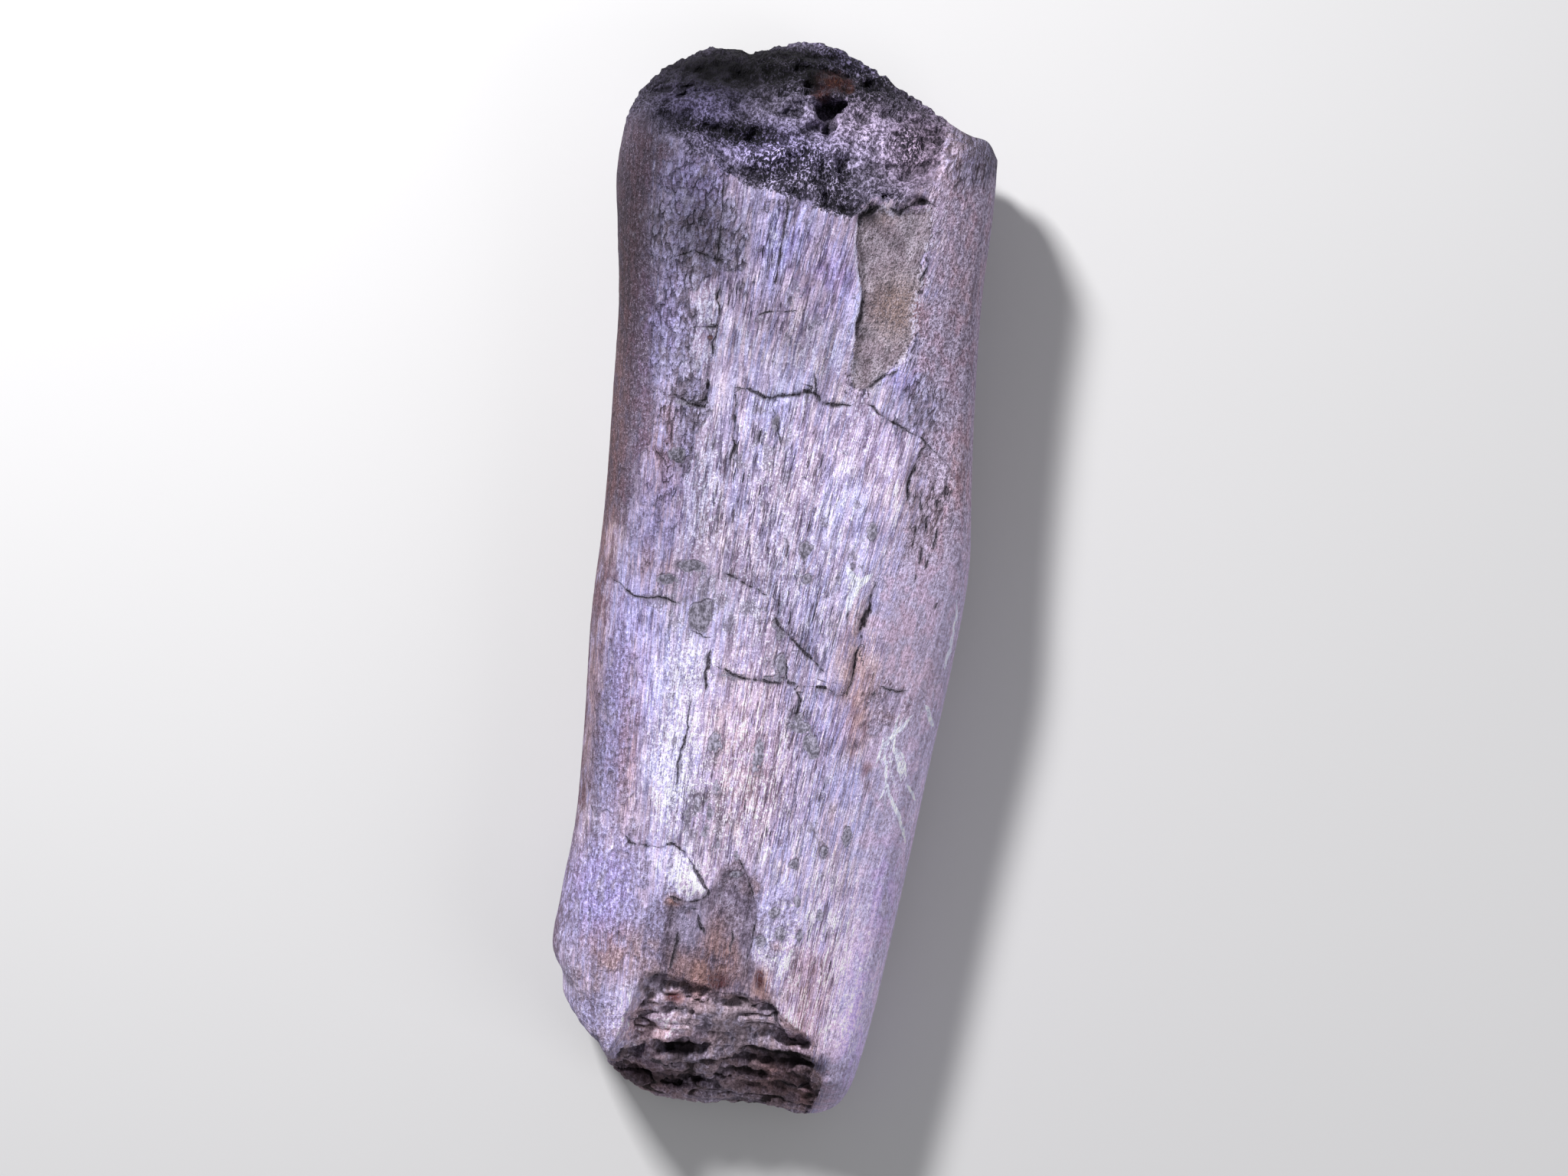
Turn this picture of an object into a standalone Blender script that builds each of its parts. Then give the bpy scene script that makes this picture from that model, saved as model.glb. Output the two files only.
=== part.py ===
"""A fossil sauropod limb bone: the shaft of a Camarasaurus thigh bone, broken off at both ends.

The bone lies on its back. +Y runs along the shaft towards the wider end, +X runs across it, and +Z points
out of the face that shows. The origin is on the surface it rests on, under the middle of its box.

The solid is two sheets of points over one outline, a front and a back, joined along the rim. The front is
a flattened dome across the shaft. Its broken ends slope down to the rim as rough spongy bone, and ledges,
pits, flaked patches and open cracks are cut into it.
"""

import bmesh
import bpy
import numpy as np

# Outline of the shaft seen from the front, as (x, y) points along each of its four edges.
LEFT_EDGE = [
    (-0.108, -0.388), (-0.117, -0.372), (-0.128, -0.361), (-0.140, -0.348), (-0.143, -0.330),
    (-0.150, -0.318), (-0.149, -0.270), (-0.143, -0.215), (-0.142, -0.140), (-0.144, -0.040),
    (-0.141, 0.040), (-0.142, 0.140), (-0.144, 0.220), (-0.150, 0.275), (-0.154, 0.320),
    (-0.149, 0.358), (-0.140, 0.384),
]
RIGHT_EDGE = [
    (0.099, -0.408), (0.107, -0.370), (0.118, -0.300), (0.129, -0.220), (0.139, -0.140),
    (0.150, -0.060), (0.157, 0.020), (0.153, 0.090), (0.150, 0.150), (0.148, 0.240), (0.151, 0.310),
    (0.151, 0.352),
]
TOP_EDGE = [
    (-0.140, 0.384), (-0.127, 0.401), (-0.105, 0.417), (-0.082, 0.427), (-0.066, 0.426),
    (-0.055, 0.424), (-0.042, 0.430), (-0.020, 0.437), (0.012, 0.436), (0.043, 0.420),
    (0.078, 0.399), (0.108, 0.380), (0.127, 0.370), (0.142, 0.366), (0.151, 0.352),
]
BOTTOM_EDGE = [
    (-0.108, -0.388), (-0.094, -0.409), (-0.070, -0.426), (-0.042, -0.433), (0.000, -0.431),
    (0.040, -0.431), (0.072, -0.434), (0.089, -0.425), (0.099, -0.408),
]

# Heights above the ground along the shaft, as (y, height): of the rim and of the front.
RIM_HEIGHT = [
    (-0.44, 0.024), (-0.42, 0.034), (-0.39, 0.050), (-0.34, 0.060), (-0.20, 0.064), (0.10, 0.072),
    (0.32, 0.080), (0.37, 0.074), (0.41, 0.054), (0.44, 0.030),
]
FRONT_HEIGHT = [(-0.44, 0.134), (-0.20, 0.143), (0.10, 0.160), (0.44, 0.178)]

FRONT_SQUARENESS = 2.4
BACK_SQUARENESS = 2.6
BACK_OVERREACH = 1.025      # the back is built this much deeper than the ground, then worn flat at it
BACK_END_LENGTH = 0.045
BACK_END_HOLLOW = 0.010     # how far hollows reach into the broken ends below the rim
RIM_BAND = 0.0015           # the band that joins the front and the back

# Where the outer bone ends at each broken end, as (x, y), and how the spongy bone falls to the rim.
TOP_BREAK = [
    (-0.156, 0.350), (-0.135, 0.352), (-0.112, 0.334), (-0.082, 0.326), (-0.060, 0.313), (-0.030, 0.304),
    (0.000, 0.296), (0.036, 0.288), (0.046, 0.300), (0.065, 0.304), (0.090, 0.312), (0.104, 0.328),
    (0.118, 0.344), (0.156, 0.330),
]
BOTTOM_BREAK = [
    (-0.152, -0.345), (-0.126, -0.368), (-0.107, -0.390), (-0.097, -0.390), (-0.088, -0.366),
    (-0.078, -0.334), (-0.060, -0.325), (-0.040, -0.331), (-0.020, -0.338), (0.012, -0.339),
    (0.032, -0.345), (0.056, -0.366), (0.073, -0.392), (0.100, -0.404), (0.125, -0.404),
]
BREAK_SHARPNESS = 1.75
OUTER_BONE_STEP = 0.005
STEP_WIDTH = 0.009
TERRACE_HEIGHT = 0.019      # the spongy bone is torn into steps of about this height
TERRACE_SHARE = 0.75        # 0 leaves a plain slope, 1 makes level treads
END_LUMP_SIZE = (0.034, 0.015, 0.020)
END_LUMP_HEIGHT = 0.0050
SHAFT_LUMP_SIZE = (0.050, 0.110, 0.080)
SHAFT_LUMP_HEIGHT = 0.0020

# Long hollows in the broken ends: the points of each, its half width and its depth.
LEDGES = [
    ([(-0.118, 0.361), (-0.095, 0.353), (-0.060, 0.347), (-0.022, 0.352), (0.004, 0.362)], 0.010, 0.008),
    ([(-0.104, 0.400), (-0.070, 0.398), (-0.040, 0.402), (-0.006, 0.410), (0.032, 0.412)], 0.011, 0.009),
    ([(-0.003, 0.418), (-0.004, 0.390)], 0.009, 0.010),
    ([(0.004, -0.384), (0.034, -0.380), (0.055, -0.385), (0.074, -0.390)], 0.009, 0.015),
    ([(0.016, -0.360), (0.036, -0.361), (0.060, -0.366)], 0.008, 0.006),
    ([(0.002, -0.404), (0.034, -0.402), (0.066, -0.406)], 0.008, 0.007),
    ([(-0.102, -0.398), (-0.076, -0.407), (-0.050, -0.412), (-0.026, -0.408)], 0.009, 0.014),
    ([(-0.088, -0.388), (-0.066, -0.386), (-0.048, -0.381), (-0.022, -0.381)], 0.009, 0.013),
    ([(-0.084, -0.357), (-0.062, -0.350), (-0.036, -0.349)], 0.008, 0.005),
]

# Pits: the middle of each, its half width, its half height and its depth.
PITS = [
    (0.010, 0.372, 0.014, 0.015, 0.032),
    (0.014, 0.355, 0.008, 0.010, 0.012),
    (0.044, 0.402, 0.010, 0.010, 0.013),
    (0.017, 0.399, 0.017, 0.013, 0.006),
    (0.049, 0.296, 0.009, 0.008, 0.010),
    (0.086, 0.306, 0.010, 0.007, 0.008),
    (-0.038, -0.382, 0.015, 0.010, 0.012),
]

# Patches where the outer bone has flaked away: corner points, depth, and how far the edge takes to drop.
FLAKED_PATCHES = [
    ([(0.045, 0.297), (0.046, 0.275), (0.049, 0.250), (0.051, 0.225), (0.049, 0.200), (0.048, 0.183),
      (0.056, 0.163), (0.070, 0.168), (0.090, 0.190), (0.099, 0.215), (0.102, 0.262), (0.101, 0.309),
      (0.080, 0.303), (0.060, 0.303)], 0.0065, 0.007),
    ([(-0.022, -0.236), (0.004, -0.232), (0.011, -0.262), (0.010, -0.300), (0.022, -0.318),
      (0.036, -0.345), (-0.020, -0.345), (-0.058, -0.332), (-0.060, -0.262), (-0.036, -0.260),
      (-0.025, -0.250)], 0.0045, 0.009),
    ([(0.101, 0.112), (0.118, 0.124), (0.132, 0.098), (0.130, 0.060), (0.122, 0.010), (0.108, 0.018),
      (0.100, 0.064)], 0.0030, 0.008),
    ([(-0.100, 0.282), (-0.072, 0.286), (-0.056, 0.262), (-0.056, 0.236), (-0.084, 0.232),
      (-0.104, 0.250)], 0.0025, 0.008),
]

# Slabs between open cracks that stand a little proud: corner points, height, and the width of the edge.
RAISED_SLABS = [
    ([(-0.040, 0.144), (-0.018, 0.140), (0.018, 0.147), (0.048, 0.139), (0.080, 0.128), (0.104, 0.110),
      (0.100, 0.060), (0.080, 0.004), (0.072, -0.060), (0.066, -0.090), (0.028, -0.085), (0.046, -0.070),
      (0.008, -0.030), (0.000, -0.010), (-0.035, 0.002), (-0.042, 0.090)], 0.0022, 0.009),
    ([(-0.108, -0.208), (-0.062, -0.222), (-0.026, -0.248), (-0.030, -0.260), (-0.062, -0.256),
      (-0.080, -0.300), (-0.108, -0.290)], 0.0018, 0.011),
    ([(-0.088, 0.228), (-0.062, 0.230), (-0.062, 0.140), (-0.080, 0.134), (-0.092, 0.170)], 0.0018, 0.008),
]

# Grid of the front sheet, and the share of its rows at each place along the shaft, as (y, share).
FRONT_COLUMNS = 48
FRONT_ROWS = 76
BACK_SHARE = 2              # the back sheet has one cell for this many of the front's, each way
ROW_DENSITY = [
    (-0.44, 2.7), (-0.34, 2.5), (-0.30, 1.2), (-0.18, 1.0), (0.14, 1.0), (0.26, 1.3), (0.30, 2.4), (0.44, 2.7),
]

FOSSIL_BONE_COLOUR = (0.42, 0.37, 0.44, 1.0)
FOSSIL_BONE_ROUGHNESS = 0.8


def through(stations, at):
    """The smooth curve through (position, value) stations: cubic pieces whose slopes follow the neighbours."""
    position, value = np.array(stations, float).T
    slope = np.gradient(value, position)
    at = np.clip(at, position[0], position[-1])
    k = np.clip(np.searchsorted(position, at, side="right") - 1, 0, len(position) - 2)
    gap = position[k + 1] - position[k]
    t = (at - position[k]) / gap
    rise = t * t * (3 - 2 * t)
    ease_out = t * (1 - t) ** 2 * gap * slope[k]
    ease_in = t * t * (t - 1) * gap * slope[k + 1]
    return (1 - rise) * value[k] + rise * value[k + 1] + ease_out + ease_in


def along_edge(points, share):
    """Points at each share, 0 to 1, of the length of the smooth curve through an edge's points."""
    points = np.array(points, float)
    chord = np.append(0.0, np.cumsum(np.linalg.norm(np.diff(points, axis=0), axis=1)))
    fine = np.linspace(0.0, chord[-1], 40 * len(points))
    curve = np.stack([through(np.stack([chord, points[:, c]], axis=1), fine) for c in (0, 1)], axis=1)
    length = np.append(0.0, np.cumsum(np.linalg.norm(np.diff(curve, axis=0), axis=1)))
    wanted = np.asarray(share) * length[-1]
    return np.stack([np.interp(wanted, length, curve[:, c]) for c in (0, 1)], axis=-1)


def dome(across, squareness):
    """The height, 0 to 1, of a flattened half round over its width, where across runs from 0 to 1."""
    q = np.abs(2 * across - 1)
    return np.clip(1 - q ** squareness, 0, 1) ** (1 / squareness)


def column_places(columns):
    """Shares across the shaft whose points are evenly spaced over the curve of the front."""
    half_width, height = 0.148, 0.085
    fine = (1 - np.cos(np.linspace(0, np.pi, 4001))) / 2
    x, z = 2 * half_width * fine, height * dome(fine, FRONT_SQUARENESS)
    length = np.append(0.0, np.cumsum(np.hypot(np.diff(x), np.diff(z))))
    return np.interp(np.linspace(0, length[-1], columns + 1), length, fine)


def row_places(rows):
    """Shares along the shaft, closer together where ROW_DENSITY is higher."""
    y = np.linspace(ROW_DENSITY[0][0], ROW_DENSITY[-1][0], 2001)
    place, weight = np.array(ROW_DENSITY, float).T
    gathered = np.append(0.0, np.cumsum(np.interp(y, place, weight)[1:]))
    share = (y - y[0]) / (y[-1] - y[0])
    return np.interp(np.linspace(0, gathered[-1], rows + 1), gathered, share)


def over_outline(across, along):
    """Blends the four edges over the whole face: each point is the two edge blends less the corner blend."""
    u, v = across[..., None], along[..., None]
    left, right = along_edge(LEFT_EDGE, along), along_edge(RIGHT_EDGE, along)
    bottom, top = along_edge(BOTTOM_EDGE, across), along_edge(TOP_EDGE, across)
    low = (1 - u) * np.array(LEFT_EDGE[0]) + u * np.array(RIGHT_EDGE[0])
    high = (1 - u) * np.array(LEFT_EDGE[-1]) + u * np.array(RIGHT_EDGE[-1])
    corners = (1 - v) * low + v * high
    return (1 - u) * left + u * right + (1 - v) * bottom + v * top - corners


def lattice_value(i, j, k):
    """A repeatable value from 0 to 1 at each point of a whole-number lattice."""
    n = (i * 73856093) ^ (j * 19349663) ^ (k * 83492791)
    n = ((n ^ (n >> 13)) & 0x7FFFFFFF) * 1274126177
    return ((n ^ (n >> 16)) & 0xFFFF) / 65535.0


def lumps(place, size):
    """Smooth random lumps from -1 to 1, of about the given size along x, y and z: lattice values blended
    between points."""
    cell = place / np.array(size)
    low = np.floor(cell).astype(np.int64)
    t = cell - low
    t = t * t * (3 - 2 * t)
    total = 0.0
    for corner in np.ndindex(2, 2, 2):
        weight = np.prod(np.where(corner, t, 1 - t), axis=-1)
        i, j, k = np.moveaxis(low + corner, -1, 0)
        total = total + weight * lattice_value(i, j, k)
    return 2 * total - 1


def ramp(value, start, end):
    """0 before start and 1 after end, with a smooth rise between."""
    t = np.clip((value - start) / (end - start), 0, 1)
    return t * t * (3 - 2 * t)


def distance_to_line(x, y, points):
    """The distance from each place to the nearest stretch of a line of points."""
    nearest = np.full(np.shape(x), np.inf)
    for (ax, ay), (bx, by) in zip(points[:-1], points[1:]):
        dx, dy = bx - ax, by - ay
        t = np.clip(((x - ax) * dx + (y - ay) * dy) / (dx * dx + dy * dy), 0, 1)
        nearest = np.minimum(nearest, np.hypot(x - ax - t * dx, y - ay - t * dy))
    return nearest


def inside_patch(x, y, corners):
    """Whether each place is inside a patch, by how often a line to its left crosses the patch's edges."""
    inside = np.zeros(np.shape(x), bool)
    for (ax, ay), (bx, by) in zip(corners, corners[1:] + corners[:1]):
        if ay != by:
            crosses = ((ay > y) != (by > y)) & (x < (bx - ax) * (y - ay) / (by - ay) + ax)
            inside ^= crosses
    return inside


def patch_share(x, y, corners, edge):
    """1 inside a patch and 0 outside it, rising over the width of its edge just inside."""
    from_edge = distance_to_line(x, y, corners + corners[:1])
    return ramp(from_edge, 0, edge) * inside_patch(x, y, corners)


def depth_cut(x, y):
    """How deep ledges, pits and flaked patches reach below the dome at each place, less the raised slabs."""
    depth = np.zeros(np.shape(x))
    for points, half_width, full_depth in LEDGES:
        near = 1 - ramp(distance_to_line(x, y, points), 0.3 * half_width, 1.2 * half_width)
        depth = np.maximum(depth, full_depth * near)
    for middle_x, middle_y, half_width, half_height, full_depth in PITS:
        r = np.hypot((x - middle_x) / half_width, (y - middle_y) / half_height)
        depth = np.maximum(depth, full_depth * (1 - ramp(r, 0.25, 1.2)))
    for corners, full_depth, edge in FLAKED_PATCHES:
        depth = np.maximum(depth, full_depth * patch_share(x, y, corners, edge))
    for corners, height, edge in RAISED_SLABS:
        depth = depth - height * patch_share(x, y, corners, edge)
    return depth


def torn_into_steps(height, wander):
    """Turns a slope into uneven steps: level treads joined by steep risers, each shifted by wander."""
    level = height / TERRACE_HEIGHT + wander
    whole = np.floor(level)
    stepped = (whole + ramp(level - whole, 0.45, 1.0) - wander) * TERRACE_HEIGHT
    share = TERRACE_SHARE * ramp(height, 0.008, 0.040)
    return (1 - share) * height + share * stepped


def end_slopes(x, y):
    """How high the face still is where it falls to the rim at both broken ends, from 1 down to 0, and
    how far a place is past the edge of the outer bone, from 0 at the edge."""
    top_x, top_y = along_edge(TOP_EDGE, np.linspace(0, 1, 400)).T
    bottom_x, bottom_y = along_edge(BOTTOM_EDGE, np.linspace(0, 1, 400)).T
    top_end, bottom_end = np.interp(x, top_x, top_y), np.interp(x, bottom_x, bottom_y)
    top_start, bottom_start = through(TOP_BREAK, x), through(BOTTOM_BREAK, x)
    shortest = 0.012
    to_top = (top_end - y) / np.maximum(top_end - top_start, shortest)
    to_bottom = (y - bottom_end) / np.maximum(bottom_start - bottom_end, shortest)
    height = np.clip(to_top, 0, 1) ** (1 / BREAK_SHARPNESS) * np.clip(to_bottom, 0, 1) ** (1 / BREAK_SHARPNESS)
    past_edge = np.maximum(np.maximum(y - top_start, bottom_start - y), 0)
    return height, past_edge


def front_height(x, y, across):
    """Height of the front above the ground at each place of the face."""
    rim = through(RIM_HEIGHT, y)
    slope, past_edge = end_slopes(x, y)
    height = (through(FRONT_HEIGHT, y) - rim) * dome(across, FRONT_SQUARENESS) * slope
    broken = ramp(past_edge, 0, STEP_WIDTH)
    place = np.stack([x, y, height], axis=-1)
    torn = torn_into_steps(height, 0.7 * lumps(place, END_LUMP_SIZE)) - OUTER_BONE_STEP
    rough = torn - height + END_LUMP_HEIGHT * lumps(place + 0.5, END_LUMP_SIZE)
    uneven = broken * rough + SHAFT_LUMP_HEIGHT * lumps(place, SHAFT_LUMP_SIZE)
    cut = depth_cut(x, y) * ramp(height, 0, 0.025)
    return rim + np.maximum(height + ramp(height, 0, 0.018) * (uneven - cut), 0)


def back_height(x, y, across, along):
    """Height of the back above the ground: a dome turned down from the rim, worn flat where it rests."""
    rim = through(RIM_HEIGHT, y)
    end_share = BACK_END_LENGTH / (ROW_DENSITY[-1][0] - ROW_DENSITY[0][0])
    nearest_end = np.clip(np.minimum(along, 1 - along) / (2 * end_share), 0, 0.5)
    ends = dome(nearest_end, BACK_SQUARENESS)
    return np.maximum(rim * (1 - BACK_OVERREACH * dome(across, BACK_SQUARENESS) * ends), 0.0)


def back_end_hollows(x, y, z, along):
    """How far each place of the back moves in from the nearer end: uneven hollows in the broken faces."""
    rim = through(RIM_HEIGHT, y)
    place = np.stack([x, y, z], axis=-1)
    near_end = 1 - ramp(np.minimum(along, 1 - along), 0.02, 0.08)
    hollow = 0.5 + 0.5 * lumps(place, END_LUMP_SIZE)
    return BACK_END_HOLLOW * near_end * hollow * ramp(1 - z / rim, 0.05, 0.3) * np.sign(0.5 - along)


def add_sheet(bm, columns, rows, is_front):
    """Adds a grid to the mesh and moves its points onto the front or the back of the bone."""
    made = bmesh.ops.create_grid(bm, x_segments=columns, y_segments=rows, size=0.5)["verts"]
    flat = np.array([v.co for v in made])
    share = BACK_SHARE if not is_front else 1
    across = np.interp(flat[:, 0] + 0.5, np.linspace(0, 1, columns + 1), column_places(columns * share)[::share])
    along = np.interp(flat[:, 1] + 0.5, np.linspace(0, 1, rows + 1), row_places(rows * share)[::share])
    x, y = over_outline(across, along).T
    if is_front:
        z = front_height(x, y, across)
    else:
        z = np.maximum(back_height(x, y, across, along) - RIM_BAND, 0)
        y = y + back_end_hollows(x, y, z, along)
    for vert, place in zip(made, np.stack([x, y, z], axis=1)):
        vert.co = place


def join_along_rim(bm):
    """Bridges the open edges of the two sheets, which closes the solid."""
    rim = [edge for edge in bm.edges if edge.is_boundary]
    bmesh.ops.bridge_loops(bm, edges=rim)
    bmesh.ops.recalc_face_normals(bm, faces=bm.faces)


def rest_on_origin(bm):
    """Moves the bone so that the origin is under the middle of its box, on the surface it rests on."""
    places = np.array([v.co for v in bm.verts])
    low, high = places.min(axis=0), places.max(axis=0)
    shift = ((low[0] + high[0]) / 2, (low[1] + high[1]) / 2, low[2])
    bmesh.ops.translate(bm, verts=bm.verts, vec=[-value for value in shift])


def fossil_bone_material():
    material = bpy.data.materials.new("fossil_bone")
    material.use_nodes = True
    shader = material.node_tree.nodes["Principled BSDF"]
    shader.inputs["Base Color"].default_value = FOSSIL_BONE_COLOUR
    shader.inputs["Roughness"].default_value = FOSSIL_BONE_ROUGHNESS
    shader.inputs["Metallic"].default_value = 0.0
    return material


def make_bone():
    bm = bmesh.new()
    add_sheet(bm, FRONT_COLUMNS, FRONT_ROWS, is_front=True)
    add_sheet(bm, FRONT_COLUMNS // BACK_SHARE, FRONT_ROWS // BACK_SHARE, is_front=False)
    join_along_rim(bm)
    rest_on_origin(bm)
    mesh = bpy.data.meshes.new("bone")
    bm.to_mesh(mesh)
    bm.free()
    mesh.shade_smooth()
    mesh.materials.append(fossil_bone_material())
    bone = bpy.data.objects.new("bone", mesh)
    bpy.context.scene.collection.objects.link(bone)
    return bone


for old in list(bpy.data.objects):
    bpy.data.objects.remove(old)
make_bone()
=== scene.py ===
"""A fossil sauropod limb bone, broken off at both ends, lying on its back on a pale floor.

The bone is one closed surface: a front and a back sheet over one outline, joined along the rim. It replaces
the plain solid of the same form. Every length below is in millimetres until the mesh is made. x runs across
the bone, y along it towards the wider end and z up.
"""

import math
from types import SimpleNamespace

import bpy
import numpy as np
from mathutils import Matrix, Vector


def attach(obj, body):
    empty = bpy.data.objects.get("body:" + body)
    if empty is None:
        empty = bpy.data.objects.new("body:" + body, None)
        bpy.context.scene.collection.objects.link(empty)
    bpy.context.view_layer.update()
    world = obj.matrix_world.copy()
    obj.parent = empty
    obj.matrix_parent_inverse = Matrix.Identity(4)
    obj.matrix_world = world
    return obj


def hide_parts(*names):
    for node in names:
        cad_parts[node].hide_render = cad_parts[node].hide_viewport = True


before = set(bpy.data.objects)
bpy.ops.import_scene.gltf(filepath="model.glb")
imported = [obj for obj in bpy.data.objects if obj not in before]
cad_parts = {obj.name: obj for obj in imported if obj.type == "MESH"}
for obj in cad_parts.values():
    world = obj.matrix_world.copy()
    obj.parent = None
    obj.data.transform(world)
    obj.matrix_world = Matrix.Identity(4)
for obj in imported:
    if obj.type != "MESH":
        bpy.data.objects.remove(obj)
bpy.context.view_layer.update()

# Grid of the front sheet. The back has one cell for every two of the front's, each way.
FRONT_COLUMNS = 216
FRONT_ROWS = 340

# Outline of the bone from the front, along each of its four edges.
LEFT_EDGE = [
    (-108, -388), (-117, -372), (-128, -361), (-140, -348), (-143, -330), (-150, -318), (-149, -270),
    (-143, -215), (-142, -140), (-144, -40), (-141, 40), (-142, 140), (-144, 220), (-150, 275), (-154, 320),
    (-149, 358), (-140, 384),
]
RIGHT_EDGE = [
    (99, -408), (107, -370), (118, -300), (129, -220), (139, -140), (150, -60), (157, 20), (153, 90),
    (150, 150), (148, 240), (151, 310), (151, 352),
]
TOP_EDGE = [
    (-140, 384), (-127, 401), (-105, 417), (-82, 427), (-66, 426), (-55, 424), (-42, 430), (-20, 437),
    (12, 436), (43, 420), (78, 399), (108, 380), (127, 370), (142, 366), (151, 352),
]
BOTTOM_EDGE = [
    (-108, -388), (-94, -409), (-70, -426), (-42, -433), (0, -431), (40, -431), (72, -434), (89, -425),
    (99, -408),
]

# Heights above the ground along the bone, as (y, height): of the rim and of the front.
RIM_HEIGHT = [
    (-440, 24), (-420, 34), (-390, 50), (-340, 60), (-200, 64), (100, 72), (320, 80), (370, 74), (410, 54),
    (440, 30),
]
FRONT_HEIGHT = [(-440, 134), (-200, 143), (100, 160), (440, 178)]
FRONT_SQUARENESS = 2.4
BACK_SQUARENESS = 2.6
BACK_OVERREACH = 1.025
BACK_END_LENGTH = 45
BACK_END_HOLLOW = 10
ROW_DENSITY = [
    (-440, 1.5), (-340, 1.7), (-300, 1.1), (-180, 1.0), (140, 1.0), (260, 1.1), (300, 1.6), (440, 1.4),
]

# Where the outer bone ends at each broken end, and how the spongy bone beyond falls to the rim.
TOP_BREAK = [
    (-156, 350), (-135, 352), (-112, 334), (-82, 326), (-60, 313), (-30, 304), (0, 296), (36, 288),
    (46, 300), (65, 304), (90, 312), (104, 328), (118, 344), (156, 330),
]
BOTTOM_BREAK = [
    (-152, -345), (-126, -368), (-107, -390), (-97, -388), (-88, -362), (-78, -328), (-60, -318),
    (-40, -323), (-20, -331), (12, -333), (32, -340), (56, -362), (73, -390), (100, -404), (125, -404),
]
BREAK_SHARPNESS = 1.75
SHORTEST_FALL = 12
OUTER_BONE_STEP = 4
STEP_WIDTH = 4

# How far the break wanders from its line, how far it is moved out where the outer bone reaches the rim, and
# how much wider its step is where it fades out.
BREAK_WANDER = 4.5
REACHES_RIM = 60
FADED_WIDTH = 26

# The spongy bone is torn into terraces: the height of a step, how much of the fall is stepped, and the lumps.
TERRACE_HEIGHT = 19
TERRACE_SHARE = 0.75
END_LUMP_SIZE = (34, 15, 20)
END_LUMP_HEIGHT = 5
SHAFT_LUMP_SIZE = (50, 110, 80)
SHAFT_LUMP_HEIGHT = 2

# Long hollows in the broken ends: the points of each from left to right, its half width and its depth.
LEDGES = [
    ([(-118, 361), (-95, 353), (-60, 347), (-22, 352), (4, 362)], 10, 8),
    ([(-104, 400), (-70, 398), (-40, 402), (-6, 410), (32, 412)], 11, 9),
    ([(-3, 418), (-4, 390)], 9, 10),
    ([(4, -384), (34, -380), (55, -385), (74, -390)], 7, 12),
    ([(16, -360), (36, -361), (60, -366)], 8, 6),
    ([(16, -408), (40, -404), (66, -406)], 7, 6),
    ([(-102, -398), (-76, -407), (-50, -412), (-26, -408)], 9, 14),
    ([(-88, -388), (-66, -386), (-48, -381), (-22, -381)], 9, 13),
    ([(-84, -357), (-62, -350), (-36, -349)], 8, 5),
]

# Pits: the middle of each, its half width, its half height and its depth.
PITS = [
    (44, 402, 10, 10, 13), (17, 399, 17, 13, 6), (49, 296, 9, 8, 10), (86, 306, 10, 7, 8),
    (-38, -382, 15, 10, 12),
]

# The deep hole in the wider end: corner points, depth and width of the edge.
HOLE = [
    (-2, 377), (2, 383), (11, 386), (20, 385), (28, 384), (24, 377), (20, 369), (17, 359), (14, 349),
    (11, 351), (8, 360), (4, 366), (-1, 371),
]
HOLE_DEPTH = 30
HOLE_EDGE = 5

# Patches where the outer bone has flaked away: corner points, depth and width of the edge.
TAN_PATCH = [
    (45, 293), (43, 280), (43, 264), (47, 242), (50, 224), (47, 206), (47, 190), (44, 170), (46, 152),
    (60, 150), (72, 164), (90, 182), (95, 200), (93, 222), (99, 240), (95, 258), (103, 280), (100, 305),
    (88, 298), (74, 294), (60, 298),
]
SPALLED_PATCH = [
    (-24, -234), (-8, -226), (6, -236), (10, -262), (9, -300), (22, -322), (34, -342), (10, -348),
    (-20, -344), (-45, -336), (-66, -328), (-66, -300), (-62, -262), (-44, -262), (-32, -256), (-26, -246),
]
FLAKED_PATCHES = [
    (TAN_PATCH, 5, 3),
    (SPALLED_PATCH, 2.4, 7),
    ([(101, 112), (118, 124), (132, 98), (130, 60), (122, 10), (108, 18), (100, 64)], 2.5, 12),
    ([(-100, 282), (-72, 286), (-56, 262), (-56, 236), (-84, 232), (-104, 250)], 2.5, 14),
]

# A pale patch between cracks, low on the left of the shaft, which is drawn but not cut: corner points.
PALE_PATCH = [
    (-60, -219), (-46, -228), (-41, -232), (-35, -243), (-27, -254), (-34, -259), (-48, -261), (-59, -256),
    (-58, -240),
]

# Slabs between open cracks that stand a little proud: corner points, height and width of the edge.
RAISED_SLABS = [
    ([(-40, 144), (-18, 140), (18, 147), (48, 139), (80, 128), (104, 110), (100, 60), (80, 4), (72, -60),
      (66, -90), (28, -85), (46, -70), (8, -30), (0, -10), (-35, 2), (-42, 90)], 2.0, 9),
    ([(-108, -208), (-62, -222), (-26, -248), (-30, -260), (-62, -256), (-80, -300), (-108, -290)], 1.8, 8),
    ([(-88, 228), (-62, 230), (-62, 140), (-80, 134), (-92, 170)], 1.8, 6),
]

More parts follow.
